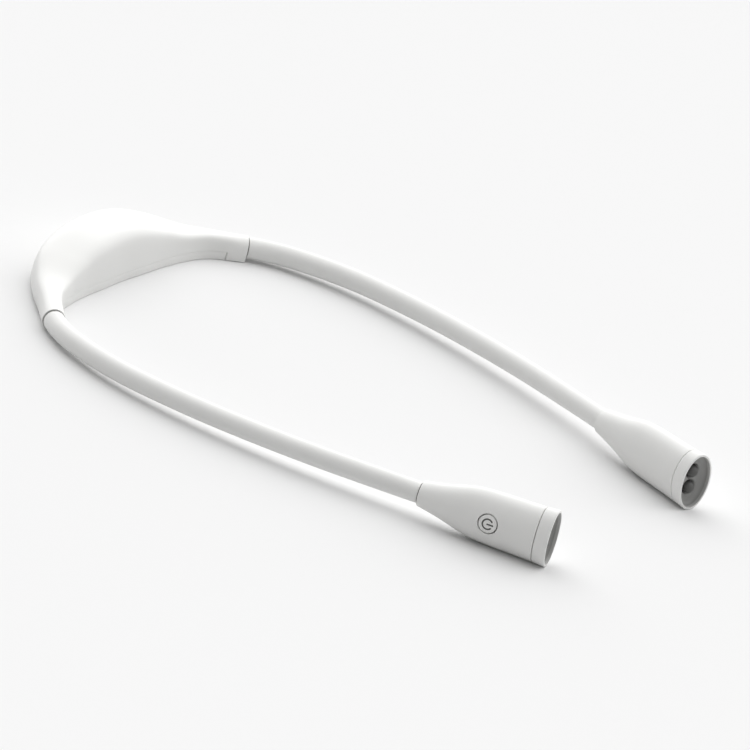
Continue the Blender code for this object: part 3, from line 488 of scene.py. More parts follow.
def moulded_plastic(name, light, dark, roughness, grain_mm, grain_depth_mm, ior=1.53, sheen=0.0):
    """Moulded plastic: a faint drift of colour between thick and thin places, a slow change of gloss
    where hands and cloth have rubbed it, and the mould's spark-eroded grain. The real grain is about
    0.1 mm from crest to crest, too fine to show, so it is drawn a few times as coarse."""
    finish, tree = new_finish(name)
    mm = millimetres(tree)
    drift = node(tree, "ShaderNodeTexNoise", {}, {"Scale": 1 / DRIFT_MM, "Detail": 3.0, "Roughness": 0.5},
                 {"Vector": mm})
    colour = node(tree, "ShaderNodeMix", {"data_type": "RGBA"}, {6: linear(dark), 7: linear(light)},
                  {0: drift.outputs[0]})
    rub = node(tree, "ShaderNodeTexNoise", {}, {"Scale": 1 / RUB_MM, "Detail": 4.0, "Roughness": 0.6},
               {"Vector": mm})
    grain = node(tree, "ShaderNodeTexNoise", {}, {"Scale": 1 / grain_mm, "Detail": 2.0, "Roughness": 0.6},
                 {"Vector": mm})
    close_finish(tree, colour.outputs[2], rub.outputs[0], (roughness - 0.05, roughness + 0.06),
                 grain.outputs[0], grain_depth_mm, {"IOR": ior, "Sheen Weight": sheen})
    return finish


def brushed_metal(name, light, dark, roughness, grain_mm):
    """Plated or drawn metal: drawing marks that break up the gloss, drawn coarse enough to show."""
    finish, tree = new_finish(name)
    marks = node(tree, "ShaderNodeTexNoise", {}, {"Scale": 1 / grain_mm, "Detail": 3.0, "Distortion": 0.4},
                 {"Vector": millimetres(tree)})
    colour = node(tree, "ShaderNodeMix", {"data_type": "RGBA"}, {6: linear(dark), 7: linear(light)},
                  {0: marks.outputs[0]})
    close_finish(tree, colour.outputs[2], marks.outputs[0], (roughness - 0.08, roughness + 0.1),
                 marks.outputs[0], 0.008, {"Metallic": 1.0})
    return finish


def cast_epoxy(name):
    """Cast epoxy that scatters the light, with flow marks in its gloss; its dark grey is painted shade."""
    finish, tree = new_finish(name)
    flow = node(tree, "ShaderNodeTexNoise", {}, {"Scale": 1 / FLOW_MM, "Detail": 2.0},
                {"Vector": millimetres(tree)})
    colour = node(tree, "ShaderNodeMix", {"data_type": "RGBA"},
                  {6: linear("#5E5E5C"), 7: linear("#6A6A68")}, {0: flow.outputs[0]})
    close_finish(tree, colour.outputs[2], flow.outputs[0], (0.34, 0.44), flow.outputs[0], 0.01,
                 {"IOR": 1.5, "Transmission Weight": 0.25})
    return finish


def glass_fibre_board(name):
    """Glass-fibre board under solder mask, with its weave as a fine check."""
    finish, tree = new_finish(name)
    mm = millimetres(tree)
    weave = node(tree, "ShaderNodeTexChecker", {},
                 {"Scale": 1 / WEAVE_MM, "Color1": linear("#1B5A35"), "Color2": linear("#174F2F")},
                 {"Vector": mm})
    mottle = node(tree, "ShaderNodeTexNoise", {}, {"Scale": 1 / MASK_MM, "Detail": 2.0}, {"Vector": mm})
    colour = node(tree, "ShaderNodeMix", {"data_type": "RGBA", "blend_type": "MULTIPLY"}, {0: 0.5},
                  {6: weave.outputs[0], 7: mottle.outputs[1]})
    close_finish(tree, colour.outputs[2], mottle.outputs[0], (0.28, 0.42), weave.outputs[1], 0.02,
                 {"IOR": 1.5})
    return finish


# ABS from a spark-eroded mould: satin white, with only a hint of its grain
WHITE_ABS = moulded_plastic("moulded_white_abs", "#FAFAF8", "#F8F8F6", 0.42, 0.35, 0.006)
# Silicone sleeve, drawn over the arm: a touch softer and duller than the mouldings
WHITE_SILICONE = moulded_plastic("extruded_white_silicone", "#F9F9F7", "#F7F7F5", 0.50, 0.45, 0.008,
                                 1.43, 0.05)
# Grey round the LEDs, left matt so that it throws no glare; its grey, darker than the rim's wall, is painted
# shade of the lamp's deep recess
PLATE_SHADE_GREY = moulded_plastic("grey_abs_painted_shade", "#A8A8A6", "#A0A09E", 0.45, 0.30, 0.006)
# Dark grey rings in the joint lines, matt: painted shade of the narrow gaps where the sleeve meets its collar
# and its lamp head
JOINT_SHADE_GREY = moulded_plastic("painted_joint_shade", "#5A5A58", "#50504E", 0.60, 0.30, 0.006, 1.52)
# Pale grey on the inner wall of the lamp's rim: painted shade, a shaded copy of the rim's white ABS
RIM_WALL_SHADE_GREY = moulded_plastic("pale_abs_painted_shade", "#C6C6C4", "#C0C0BE", 0.42, 0.30, 0.006)
# Pad-printed grey at the bottom of the button's engraving
GREY_INK = moulded_plastic("pad_printed_grey_ink", "#5E5E5C", "#545452", 0.55, 0.25, 0.006, 1.48)
# Nylon switch case, black and slightly glossy
BLACK_NYLON = moulded_plastic("moulded_black_nylon", "#26262A", "#1E1E20", 0.38, 0.30, 0.006)
# PVC lead, black and soft
BLACK_PVC = moulded_plastic("extruded_black_pvc", "#202022", "#19191B", 0.45, 0.25, 0.004, 1.52)
# Shrink wrap on the cells: smooth printed PVC film
CELL_FILM = moulded_plastic("printed_pvc_film", "#2F4F86", "#2A477A", 0.28, 0.6, 0.006, 1.5)
# Nickel-plated spring steel and brass
NICKEL_PLATE = brushed_metal("nickel_plated_steel", "#C9C8C4", "#B4B3AF", 0.28, 0.25)
# Cast epoxy of an unlit LED, milky; its dark grey, as in the photograph, is painted shade of the lamp's deep
# recess
LENS_SHADE_EPOXY = cast_epoxy("epoxy_painted_shade")
# FR-4 board: green solder mask, satin, with the glass weave showing through
GREEN_BOARD = glass_fibre_board("solder_masked_fr4")

# The frame's own nodes that stay in view; pieces of this scene replace all others
NODE_FINISHES = {
    "battery_spring": NICKEL_PLATE, "contact": NICKEL_PLATE, "arm_ferrule": NICKEL_PLATE,
    "hose": NICKEL_PLATE, "hub_lead": BLACK_PVC, "head_lead": BLACK_PVC, "led_board": GREEN_BOARD,
    "switch_board": GREEN_BOARD, "switch_body": BLACK_NYLON, "switch_plunger": BLACK_NYLON,
}


def finish_nodes():
    """Gives each node of the frame that stays in view the finish of its real piece."""
    for name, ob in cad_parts.items():
        for key, finish in NODE_FINISHES.items():
            if key in name:
                for slot in ob.material_slots:
                    slot.material = finish


# Battery housing


def mirrored_shares(shares):
    return [-s for s in shares[:0:-1]] + list(shares)


def even_shares(shares):
    return list(shares[:0:-1]) + list(shares)


def spline_at(keys, values, at):
    """Catmull-Rom value at a place along evenly spaced keys."""
    step = keys[1] - keys[0]
    place = min(max((at - keys[0]) / step, 0.0), len(keys) - 1.0)
    i = min(int(place), len(keys) - 2)
    t = place - i
    b, c = values[i], values[i + 1]
    a = values[i - 1] if i > 0 else 2 * b - c
    d = values[i + 2] if i + 2 < len(values) else 2 * c - b
    return 0.5 * (2 * b + (c - a) * t + (2 * a - 5 * b + 4 * c - d) * t ** 2
                  + (3 * b - a - 3 * c + d) * t ** 3)


def plan_points(bay_shares, shoulder_shares, depth, depth_shares):
    rows = zip(bay_shares, shoulder_shares, depth_shares)
    return [Vector((BAY_HALF_LENGTH * a + HUB_SHOULDER * b, depth * c)) for a, b, c in rows]


def hub_outline():
    """Stations of the housing: keys, outer and inner plan, tops, crown powers, edge and lean shares."""
    across = math.radians(ARM_START_HEADING)
    normal = Vector((math.cos(across), math.sin(across)))
    collar = Vector((COLLAR_X, 0.0))
    outer = plan_points(HUB_OUTER_BAY_SHARES, HUB_OUTER_SHOULDER_SHARES, HUB_DEPTH, HUB_OUTER_Y_SHARES)
    inner = plan_points(HUB_INNER_BAY_SHARES, HUB_INNER_SHOULDER_SHARES, HUB_INNER_Y, HUB_INNER_Y_SHARES)
    outer.append(collar + COLLAR_RADIUS * normal)
    inner.append(collar - COLLAR_RADIUS * normal)
    flip = Vector((-1.0, 1.0))
    both = [[flip * p for p in line[:0:-1]] + line for line in (outer, inner)]
    tops = [HUB_HEIGHT * share for share in HUB_TOP_SHARES] + [COLLAR_HEIGHT + COLLAR_RADIUS]
    even = (tops, HUB_OUTER_CROWN_POWERS, HUB_INNER_CROWN_POWERS, HUB_OUTER_EDGE_SHARES,
            HUB_INNER_EDGE_SHARES, HUB_INNER_LEAN_SHARES)
    return mirrored_shares(HUB_STATION_SHARES), *both, *map(even_shares, even)


OUTLINE = hub_outline()


def lower_corner(half, base, least, share, inset):
    """Points from a side wall down round its lower corner."""
    wide = max(least + share * (half - least) - inset * (1 - share), GAP)
    tall = max(least + share * (base - least) - inset * (1 - share), GAP)
    corner = []
    for i in range(EDGE_STEPS + 1):
        angle = math.pi / 2 * i / EDGE_STEPS
        corner.append((half - wide + wide * math.cos(angle), tall - base - tall * math.sin(angle)))
    return corner


def hub_ring(u, inset=0.0):
    """Cross-section of the housing at the station u: crowned top, leaning inner wall and flat base."""
    keys, outer, inner, *rows = OUTLINE
    top, outer_power, inner_power, outer_edge, inner_edge, lean = (spline_at(keys, row, u) for row in rows)
    out = Vector((spline_at(keys, [p.x for p in outer], u), spline_at(keys, [p.y for p in outer], u)))
    into = Vector((spline_at(keys, [p.x for p in inner], u), spline_at(keys, [p.y for p in inner], u)))
    centre = (out + into) / 2
    half = (out - into).length / 2 - inset
    across = (out - into).normalized()
    crown = top - COLLAR_HEIGHT - inset
    base = COLLAR_HEIGHT - inset
    ring = []
    for i in range(CROWN_STEPS + 1):
        angle = math.pi * i / CROWN_STEPS
        power = 2 / (outer_power if 2 * i < CROWN_STEPS else inner_power)
        side = math.copysign(abs(math.cos(angle)) ** power, math.cos(angle))
        ring.append((half * side, crown * math.sin(angle) ** power))
    inner_corner = lower_corner(half, base, HUB_INNER_EDGE_RADIUS, inner_edge, inset)
    outer_corner = lower_corner(half, base, HUB_OUTER_EDGE_RADIUS, outer_edge, inset)
    ring += [(-s, z) for s, z in inner_corner] + outer_corner[::-1]
    slope = lean * HUB_INNER_LEAN / (crown + base)
    ring = [(s - slope * (crown - z) if s < 0 else s, z) for s, z in ring]
    return [Vector((centre.x + across.x * s, HUB_Y + centre.y + across.y * s, COLLAR_HEIGHT + z))
            for s, z in ring]


def hub_body(name, inset, reach, steps):
    return loft(name, [hub_ring(reach * (2 * i / steps - 1), inset) for i in range(steps + 1)])


def lower_region(end_gap, seam):
    """The part of the housing's underside that the lower shell takes up, with its end gap and seam."""
    reach = LOWER_SHELL_X + end_gap
    return box_mesh("lower_region", (-reach, HUB_Y - HUB_DEPTH, -OVERRUN),
                    (reach, HUB_Y + 2 * HUB_DEPTH, PARTING_HEIGHT + seam))


def collar_bore(side):
    """The bore through a collar, bent as the arm is: wider for the ferrule, and again at the mouth."""
    link = Link(0, side)
    place = PLANE @ plan_frames(side)[0]
    step = -FERRULE_LENGTH - GAP
    profile = [(HOSE_HOLE_RADIUS, y) for y in stretch(-HOSE_IN_HUB - 2 * OVERRUN, step, 8)]
    profile += [(COLLAR_BORE_RADIUS, y) for y in stretch(step, -COLLAR_MOUTH_DEPTH, 12)]
    profile += [(COLLAR_MOUTH_RADIUS, -COLLAR_MOUTH_DEPTH), (COLLAR_MOUTH_RADIUS, OVERRUN)]
    return loft("bore", [[place @ link.bend(p) for p in oval(y, r, r, SLEEVE_SIDES)] for r, y in profile])


def boss_place(side):
    return Matrix.Translation((side * BOSS_X, HUB_Y + BOSS_Y, 0.0))


def build_cover():
    """The upper shell, with the ribs that hold the contacts, the screw bosses and the collars' bores."""
    cover = hub_body("housing_cover", 0.0, 1.0, HUB_STEPS)
    cover = carve(cover, hub_body("cavity", HUB_WALL, CAVITY_END_SHARE, CAVITY_STEPS))
    cover = carve(cover, lower_region(END_GAP, SEAM))
    contact_back = BAY_HALF_LENGTH + CONTACT_THICKNESS + GAP
    for side in (-1, 1):
        low = PARTING_HEIGHT + 2 * GAP
        xs = sorted(side * (contact_back + depth) for depth in (0.0, RIB_THICKNESS))
        rib = box_mesh("rib", (xs[0], HUB_Y - HUB_DEPTH, low), (xs[1], HUB_Y + HUB_DEPTH, RIB_HEIGHT))
        boss = turned("boss", rod(BOSS_RADIUS, FOOT_BOSS_HEIGHT + GAP, HUB_HEIGHT), boss_place(side),
                      SLEEVE_SIDES)
        for stiffener in (rib, boss):
            limit = hub_body("mid_wall", HUB_WALL / 2, CAVITY_END_SHARE, CAVITY_STEPS)
            cover = carve(cover, carve(stiffener, limit, "INTERSECT"), "UNION")
        cover = carve(cover, collar_bore(side))
        pilot = rod(PILOT_RADIUS, FOOT_BOSS_HEIGHT - OVERRUN, FOOT_BOSS_HEIGHT + PILOT_DEPTH)
        cover = carve(cover, turned("pilot", pilot, boss_place(side), SLEEVE_SIDES))
    piece = show("housing_cover", cover, [WHITE_ABS], "hub", "hub_upper_shell")


def build_tray():
    """The lower shell, with the door's opening and the sunk holes for the screws."""
    tray = hub_body("housing_tray", 0.0, 1.0, HUB_STEPS)
    tray = carve(tray, lower_region(0.0, 0.0), "INTERSECT")
    tray = carve(tray, hub_body("cavity", HUB_WALL, CAVITY_END_SHARE, CAVITY_STEPS))
    reach = (DOOR_LENGTH / 2 + GAP, DOOR_WIDTH / 2 + GAP)
    row = HUB_Y + CELL_ROW_Y
    opening = box_mesh("opening", (-reach[0], row - reach[1], -OVERRUN),
                       (reach[0], row + reach[1], 2 * OVERRUN))
    tray = carve(tray, opening)
    for side in (-1, 1):
        foot = rod(FOOT_BOSS_RADIUS, HUB_WALL / 2, FOOT_BOSS_HEIGHT)
        top = FOOT_BOSS_HEIGHT + OVERRUN
        recess = SCREW_HEAD_RADIUS + GAP
        hole = ((0.0, top), (PILOT_RADIUS, top), (PILOT_RADIUS, SCREW_RECESS), (recess, SCREW_RECESS),
                (recess, -OVERRUN), (0.0, -OVERRUN))
        tray = carve(tray, turned("foot", foot, boss_place(side), SLEEVE_SIDES), "UNION")
        tray = carve(tray, turned("hole", hole, boss_place(side), SLEEVE_SIDES))
    piece = show("housing_tray", tray, [WHITE_ABS], "hub", "hub_lower_shell")


def door_outline(inset, corner):
    """The door's outline, with round corners."""
    points = []
    half_length, half_width = DOOR_LENGTH / 2 - inset, DOOR_WIDTH / 2 - inset
    for turn, (sx, sy) in enumerate(((1, 1), (-1, 1), (-1, -1), (1, -1))):
        for i in range(DOOR_CORNER_STEPS + 1):
            angle = math.pi / 2 * (turn + i / DOOR_CORNER_STEPS)
            points.append((sx * (half_length - corner) + corner * math.cos(angle),
                           HUB_Y + CELL_ROW_Y + sy * (half_width - corner) + corner * math.sin(angle)))
    return points


def build_battery_door():
    """The lid over the cells, with three finger grooves near one end."""
    low, high = DOOR_RECESS, DOOR_RECESS + DOOR_THICKNESS
    bevel = 0.3 * SOFT_EDGE
    edge = ((SOFT_EDGE, low), (bevel, low + bevel), (0.0, low + SOFT_EDGE),
            (0.0, high - SOFT_EDGE), (bevel, high - bevel), (SOFT_EDGE, high))
    rings = [[Vector((x, y, z)) for x, y in door_outline(inset, DOOR_CORNER - inset)] for inset, z in edge]
    door = loft("battery_lid", rings)
    turns = stretch(0.0, 2 * math.pi, GRIP_SIDES)[:-1]
    for index in range(GRIP_COUNT):
        x = GRIP_X + (index - (GRIP_COUNT - 1) / 2) * GRIP_PITCH
        groove = []
        for i in range(GRIP_STEPS + 1):
            along = 2 * i / GRIP_STEPS - 1
            y = HUB_Y + CELL_ROW_Y + GRIP_LENGTH / 2 * along
            share = math.sqrt(max(1 - along ** GRIP_END_POWER, GRIP_END_SHARE))
            groove.append([Vector((x + GRIP_RADIUS * share * math.cos(a), y,
                                   low + GRIP_DEPTH * share * math.sin(a))) for a in turns])
        door = carve(door, loft("groove", groove))
    piece = show("battery_lid", door, [WHITE_ABS], "battery_door", "battery_door")


def build_case_screws():
    """Two pan-head screws with a cross recess, driven up from the underside."""
    seat = SCREW_RECESS - GAP
    head = seat - SCREW_HEAD_HEIGHT
    tip = seat + SCREW_LENGTH
    shank = [(SCREW_SHANK_RADIUS - SCREW_THREAD_DEPTH * (i % 2),
              tip - SCREW_SHANK_RADIUS - i * SCREW_THREAD_STEP) for i in range(SCREW_THREAD_STEPS)]
    profile = [(0.0, tip)] + shank + [(SCREW_SHANK_RADIUS, seat), (SCREW_HEAD_RADIUS, seat)]
    profile += [(SCREW_HEAD_RADIUS - drop, head + along) for along, drop in round_edge(SCREW_HEAD_ROUND, 5)]
    profile.append((0.0, head))
    corners = ((-1, -1), (1, -1), (1, 1), (-1, 1))
    for side, number in ((-1, 1), (1, 2)):
        screw = turned(f"case_screw_{number}", profile, boss_place(side), SLEEVE_SIDES)
        for turn in (0.0, math.pi / 2):
            place = boss_place(side) @ Matrix.Rotation(turn, 4, "Z")
            rings = [[place @ Vector((x * reach, y * reach * SCREW_CROSS_SLIM, head + rise))
                      for x, y in corners] for reach, rise in SCREW_CROSS_STATIONS]
            screw = carve(screw, loft("recess", rings))
        piece = show(f"case_screw_{number}", screw, [NICKEL_PLATE], "hub", f"hub_screw_{number}")


def build_cells():
    """Two AAA cells, head to tail: a shrink-wrapped can with a bare nub at the plus end and a bare base."""
    height = DOOR_RECESS + DOOR_THICKNESS + GAP + CELL_RADIUS
    shoulder = CELL_LENGTH - CELL_NUB_HEIGHT
    lip, crest, edge = CELL_RADIUS - CELL_LIP, CELL_RADIUS - CELL_CREST, CELL_RADIUS - CELL_EDGE
    profile = [(0.0, CELL_LENGTH), (CELL_NUB_RADIUS - CELL_NUB_EDGE, CELL_LENGTH),
               (CELL_NUB_RADIUS, CELL_LENGTH - CELL_NUB_EDGE), (CELL_NUB_RADIUS, shoulder),
               (lip, shoulder), (crest, shoulder + CELL_CREST_HEIGHT), (edge, shoulder),
               (CELL_RADIUS, shoulder - CELL_EDGE_HEIGHT), (CELL_RADIUS, CELL_EDGE_HEIGHT), (edge, 0.0),
               (crest, 0.0), (lip, CELL_CREST_HEIGHT), (0.0, CELL_CREST_HEIGHT)]
    for name, end, y in (("1", 1, CELL_ROW_Y - CELL_PITCH / 2), ("2", -1, CELL_ROW_Y + CELL_PITCH / 2)):
        base = end * (BAY_HALF_LENGTH - GAP - CELL_LENGTH)
        place = Matrix.Translation((base, HUB_Y + y, height)) @ Matrix.Rotation(end * math.pi / 2, 4, "Y")
        mesh = turned(f"cell_{name}", profile, place, SLEEVE_SIDES)
        to_cell = place.inverted()
        piece = show(f"cell_{name}", mesh, [CELL_FILM, NICKEL_PLATE], "hub", f"battery_{name}")
        for face in mesh.polygons:
            spot = to_cell @ face.center
            if spot.xy.length < (lip + crest) / 2:
                face.material_index = 1


# Arms


def arm_ring(side, distance, radius):
    """A ring round the arm at a distance from the collar."""
    index = 0
    while index < len(LINK_LENGTHS) - 1 and distance > LINK_LENGTHS[index]:
        distance -= LINK_LENGTHS[index]
        index += 1
    link = Link(index, side)
    place = PLANE @ plan_frames(side)[index]
    return [place @ link.bend(p) for p in oval(distance, radius, radius, SLEEVE_SIDES)]


def build_sleeve(side, word):
    """The sleeve in four lengths, each of which lies over one joint and meets the next in mid-link."""
    pivots = [sum(LINK_LENGTHS[:i + 1]) for i in range(4)]
    total = sum(LINK_LENGTHS)
    cuts = [COLLAR_SLIT] + [(a + b) / 2 for a, b in zip(pivots, pivots[1:])] + [total - NECK_SLIT]
    for number in range(4):
        start, end = cuts[number], cuts[number + 1]
        count = round((end - start) / SLEEVE_STEP)
        outside = [arm_ring(side, s, SLEEVE_RADIUS) for s in stretch(start, end, count)]
        edge = round_edge(SOFT_EDGE)
        # These rings run backwards: the skin folds over itself for a quarter of a millimetre at each
        # of its two outer ends, and the faces of lengths 1 and 4 point inwards
        if number == 0:
            outside[0:1] = [arm_ring(side, start + along, SLEEVE_RADIUS - drop) for along, drop in edge]
        if number == 3:
            outside[-1:] = [arm_ring(side, end - along, SLEEVE_RADIUS - drop)
                            for along, drop in edge[::-1]]
        inside = [arm_ring(side, s, SLEEVE_BORE_RADIUS) for s in stretch(end, start, count)]
        name = f"arm_sleeve_{word}_{number + 1}"
        nodes = [f"sleeve_{word}_{number + 1}"] + ([f"sleeve_{word}_5"] if number == 3 else [])
        piece = show(name, loft(name, outside + inside, closed=True), [WHITE_SILICONE], None, *nodes)
        pivot = plan_frames(side)[number + 1]
        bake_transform(piece)


def build_joint_shade_rings(side, word):
    """Dark grey rings that fill the joint lines where the sleeve meets its collar and the lamp head: painted
    shade of these gaps.
    """
    total = sum(LINK_LENGTHS)
    near, far = SHADE_RING_PLAY, 1 - SHADE_RING_PLAY
    for name, start, end, radius, body in (
            (f"collar_shade_ring_{word}", near * COLLAR_SLIT, far * COLLAR_SLIT, COLLAR_SHADE_RING_RADIUS, "hub"),
            (f"neck_shade_ring_{word}", total - far * NECK_SLIT, total - near * NECK_SLIT, NECK_SHADE_RING_RADIUS,
             f"head_{word}")):
        profile = [(start, SLEEVE_BORE_RADIUS), (start, radius - SHADE_RING_EDGE), (start + SHADE_RING_EDGE, radius),
                   (end - SHADE_RING_EDGE, radius), (end, radius - SHADE_RING_EDGE), (end, SLEEVE_BORE_RADIUS)]
        mesh = loft(name, [arm_ring(side, s, r) for s, r in profile], closed=True)
        piece = show(name, mesh, [JOINT_SHADE_GREY], body)


# Lamp heads


def swell_slopes():
    """Slopes at the stations of the head's swell, such that the curve between them never overshoots."""
    xs, ys = HEAD_LENGTH_SHARES, HEAD_SWELL_SHARES
    steps = [(y2 - y1) / (x2 - x1) for x1, x2, y1, y2 in zip(xs, xs[1:], ys, ys[1:])]
    inner = [2 * a * b / (a + b) for a, b in zip(steps, steps[1:])]
    return [steps[0]] + inner + [steps[-1]]


SWELL_SLOPES = swell_slopes()


def head_size(y, inset=0.0):
    """Half width and half height of the head's oval at a distance from its neck."""
    share = min(max(y / HEAD_LENGTH, 0.0), 1.0)
    i = max(k for k in range(len(HEAD_LENGTH_SHARES) - 1) if HEAD_LENGTH_SHARES[k] <= share)
    span = HEAD_LENGTH_SHARES[i + 1] - HEAD_LENGTH_SHARES[i]
    t = (share - HEAD_LENGTH_SHARES[i]) / span
    here, beyond = HEAD_SWELL_SHARES[i], HEAD_SWELL_SHARES[i + 1]
    swell = ((2 * t ** 3 - 3 * t ** 2 + 1) * here + (3 * t ** 2 - 2 * t ** 3) * beyond
             + (t ** 3 - 2 * t ** 2 + t) * span * SWELL_SLOPES[i]
             + (t ** 3 - t ** 2) * span * SWELL_SLOPES[i + 1])
    width = NECK_RADIUS + (HEAD_HALF_WIDTH - NECK_RADIUS) * swell
    height = NECK_RADIUS + (HEAD_HALF_HEIGHT - NECK_RADIUS) * swell
    return width - inset, height - inset


def head_ring(place, y, inset=0.0):
    return [place @ p for p in oval(y, *head_size(y, inset), HEAD_SIDES)]


def button_place(place, side):
    """A frame on the head's axis behind the button, whose Z points out of the head's outer side."""
    return place @ Matrix.Translation((0.0, BUTTON_AT, 0.0)) @ Matrix.Rotation(-side * math.pi / 2, 4, "Y")


def build_head_shell(place, side, word):
    front = BEZEL_BACK - GAP
    count = round((front - 2 * SOFT_EDGE) / HEAD_STEP)
    outside = round_edge(SOFT_EDGE)[::-1]
    outside += [(y, 0.0) for y in stretch(SOFT_EDGE, front - SOFT_EDGE, count)[1:-1]]
    outside += [(front - along, drop) for along, drop in round_edge(SOFT_EDGE)]
    rings = [head_ring(place, y, inset) for y, inset in outside]
    start = NECK_BORE_LENGTH + HEAD_WALL
    rings += [head_ring(place, y, HEAD_WALL) for y in stretch(front, start, count // 2)]
    rings += [[place @ p for p in oval(y, NECK_BORE_RADIUS, NECK_BORE_RADIUS, HEAD_SIDES)]
              for y in (NECK_BORE_LENGTH, 0.0)]
    shell = loft(f"lamp_shell_{word}", rings, closed=True)
    hole = rod(BUTTON_RADIUS + GAP, 0.0, HEAD_HALF_WIDTH + OVERRUN)
    shell = carve(shell, turned("hole", hole, button_place(place, side), BUTTON_SIDES))
    piece = show(f"lamp_shell_{word}", shell, [WHITE_ABS], f"head_{word}", f"head_shell_{word}")


def bezel_inset(y):
    """How far the bezel's inner wall lies inside the head's skin, with its draft towards the ledge."""
    return BEZEL_LIP + BEZEL_DRAFT * (HEAD_LENGTH - y) / (HEAD_LENGTH - BEZEL_LEDGE)


def build_bezel(place, word):
    """The rim round the lamp: white outside, pale grey within as painted shade of the deep recess, with a
    spigot that plugs into the shell.
    """
    spigot_outer = HEAD_WALL + GAP
    spigot_inner = spigot_outer + SPIGOT_WALL
    spigot_end = BEZEL_BACK - SPIGOT_LENGTH
    profile = [(BEZEL_BACK + along, drop) for along, drop in round_edge(SOFT_EDGE)[::-1]]
    profile += [(y, 0.0) for y in stretch(BEZEL_BACK + SOFT_EDGE, HEAD_LENGTH - BEZEL_ROUND, 6)[1:-1]]
    profile += [(HEAD_LENGTH - along, drop) for along, drop in round_edge(BEZEL_ROUND, 5)]
    profile += [(HEAD_LENGTH - drop, BEZEL_LIP - along) for along, drop in round_edge(SOFT_EDGE)]
    profile += [(y, bezel_inset(y)) for y in stretch(HEAD_LENGTH - SOFT_EDGE, BEZEL_LEDGE, 6)[1:]]
    profile += [(BEZEL_LEDGE, spigot_inner), (spigot_end, spigot_inner), (spigot_end, spigot_outer),
                (BEZEL_BACK, spigot_outer)]
    name = f"lamp_bezel_{word}"
    mesh = loft(name, [head_ring(place, y, inset) for y, inset in profile], closed=True)
    piece = show(name, mesh, [WHITE_ABS, RIM_WALL_SHADE_GREY], f"head_{word}", f"bezel_{word}")
    # Faces of the inner wall take the pale grey of painted shade
    back_to_local = place.inverted()
    for face in mesh.polygons:
        middle = back_to_local @ face.center
        width, height = head_size(middle.y, BEZEL_LIP - SOFT_EDGE / 2)
        if middle.y > BEZEL_LEDGE + GAP and (middle.x / width) ** 2 + (middle.z / height) ** 2 < 1:
            face.material_index = 1


def facing_front(place, z, y):
    """A frame whose Z points out of the head's front."""
    return place @ Matrix.Translation((0.0, y, z)) @ Matrix.Rotation(-math.pi / 2, 4, "X")


def build_lamp(place, word):
    """The front plate and the two LEDs that stand through it."""
    inset = bezel_inset(PLATE_FRONT + DISH_ROUND) + PLATE_FIT
    name = f"lamp_plate_{word}"
    dish = [(PLATE_FRONT + along, inset + drop) for along, drop in round_edge(DISH_ROUND, 8)]
    back_ring = head_ring(place, PLATE_BACK, bezel_inset(PLATE_BACK) + PLATE_FIT)
    plate = loft(name, [back_ring] + [head_ring(place, y, edge) for y, edge in dish])
    base = HEAD_LENGTH - LED_BOARD_SETBACK + GAP
    top = PLATE_FRONT + LED_PROUD - base
    dome = [(LED_RADIUS * math.sin(a), top - LED_RADIUS * (1 - math.cos(a)))
            for a in stretch(0.0, math.pi / 2, 12)]
    lens = dome + [(LED_RADIUS, LED_FLANGE_THICKNESS), (LED_FLANGE_RADIUS, LED_FLANGE_THICKNESS),
                   (LED_FLANGE_RADIUS, 0.0), (0.0, 0.0)]
    rim = LED_RADIUS + GAP
    sink = PLATE_FRONT - base - 2 * SOFT_EDGE
    hole = ((0.0, top + OVERRUN), (rim + 2 * SOFT_EDGE + OVERRUN, sink + 2 * SOFT_EDGE + OVERRUN),
            (rim, sink), (rim, 0.0), (0.0, 0.0))
    for spot, z in (("upper", LED_OFFSET), ("lower", -LED_OFFSET)):
        there = facing_front(place, z, base)
        plate = carve(plate, turned("hole", hole, there, LED_SIDES))
        # The lenses' dark grey is painted shade of the recess
        piece = show(f"led_lens_{spot}_{word}", turned("lens", lens, there, LED_SIDES), [LENS_SHADE_EPOXY],
                     f"head_{word}", f"led_{spot}_{word}")
    # The plate's grey is painted shade of the recess
    piece = show(name, plate, [PLATE_SHADE_GREY], f"head_{word}", f"led_plate_{word}")


def cap_height(across, ahead):
    """Height of the head's skin over the button's frame, a little proud as the cap is."""
    width, height = head_size(BUTTON_AT + ahead, -BUTTON_PROUD)
    return width * math.sqrt(max(1 - (across / height) ** 2, 0.0))


def symbol_groove(name, stations, there):
    """A cutter along a line of (x, y, half width) stations, which leaves an even depth in the cap."""
    rings = []
    for here, (x, y, half) in enumerate(stations):
        before = stations[max(here - 1, 0)]
        after = stations[min(here + 1, len(stations) - 1)]
        ahead = Vector((after[0] - before[0], after[1] - before[1])).normalized()
        ring = []
        for side, lift in ((-1, -SYMBOL_DEPTH), (1, -SYMBOL_DEPTH), (1, OVERRUN), (-1, OVERRUN)):
            px = x - ahead.y * half * side
            py = y + ahead.x * half * side
            ring.append(there @ Vector((px, py, cap_height(px, py) + lift)))
        rings.append(ring)
    return loft(name, rings)


def round_ended(points):
    """Adds the narrowing stations of round ends to a line, which the stroke's own width sets."""
    half = SYMBOL_STROKE / 2
    first = (Vector(points[0]) - Vector(points[1])).normalized()
    last = (Vector(points[-1]) - Vector(points[-2])).normalized()
    angles = stretch(*SYMBOL_END_ANGLES, 4)
    start = [(*(Vector(points[0]) + first * half * math.sin(a)), half * math.cos(a)) for a in angles]
    end = [(*(Vector(points[-1]) + last * half * math.sin(a)), half * math.cos(a))
           for a in reversed(angles)]
    return start + [(*p, half) for p in points] + end


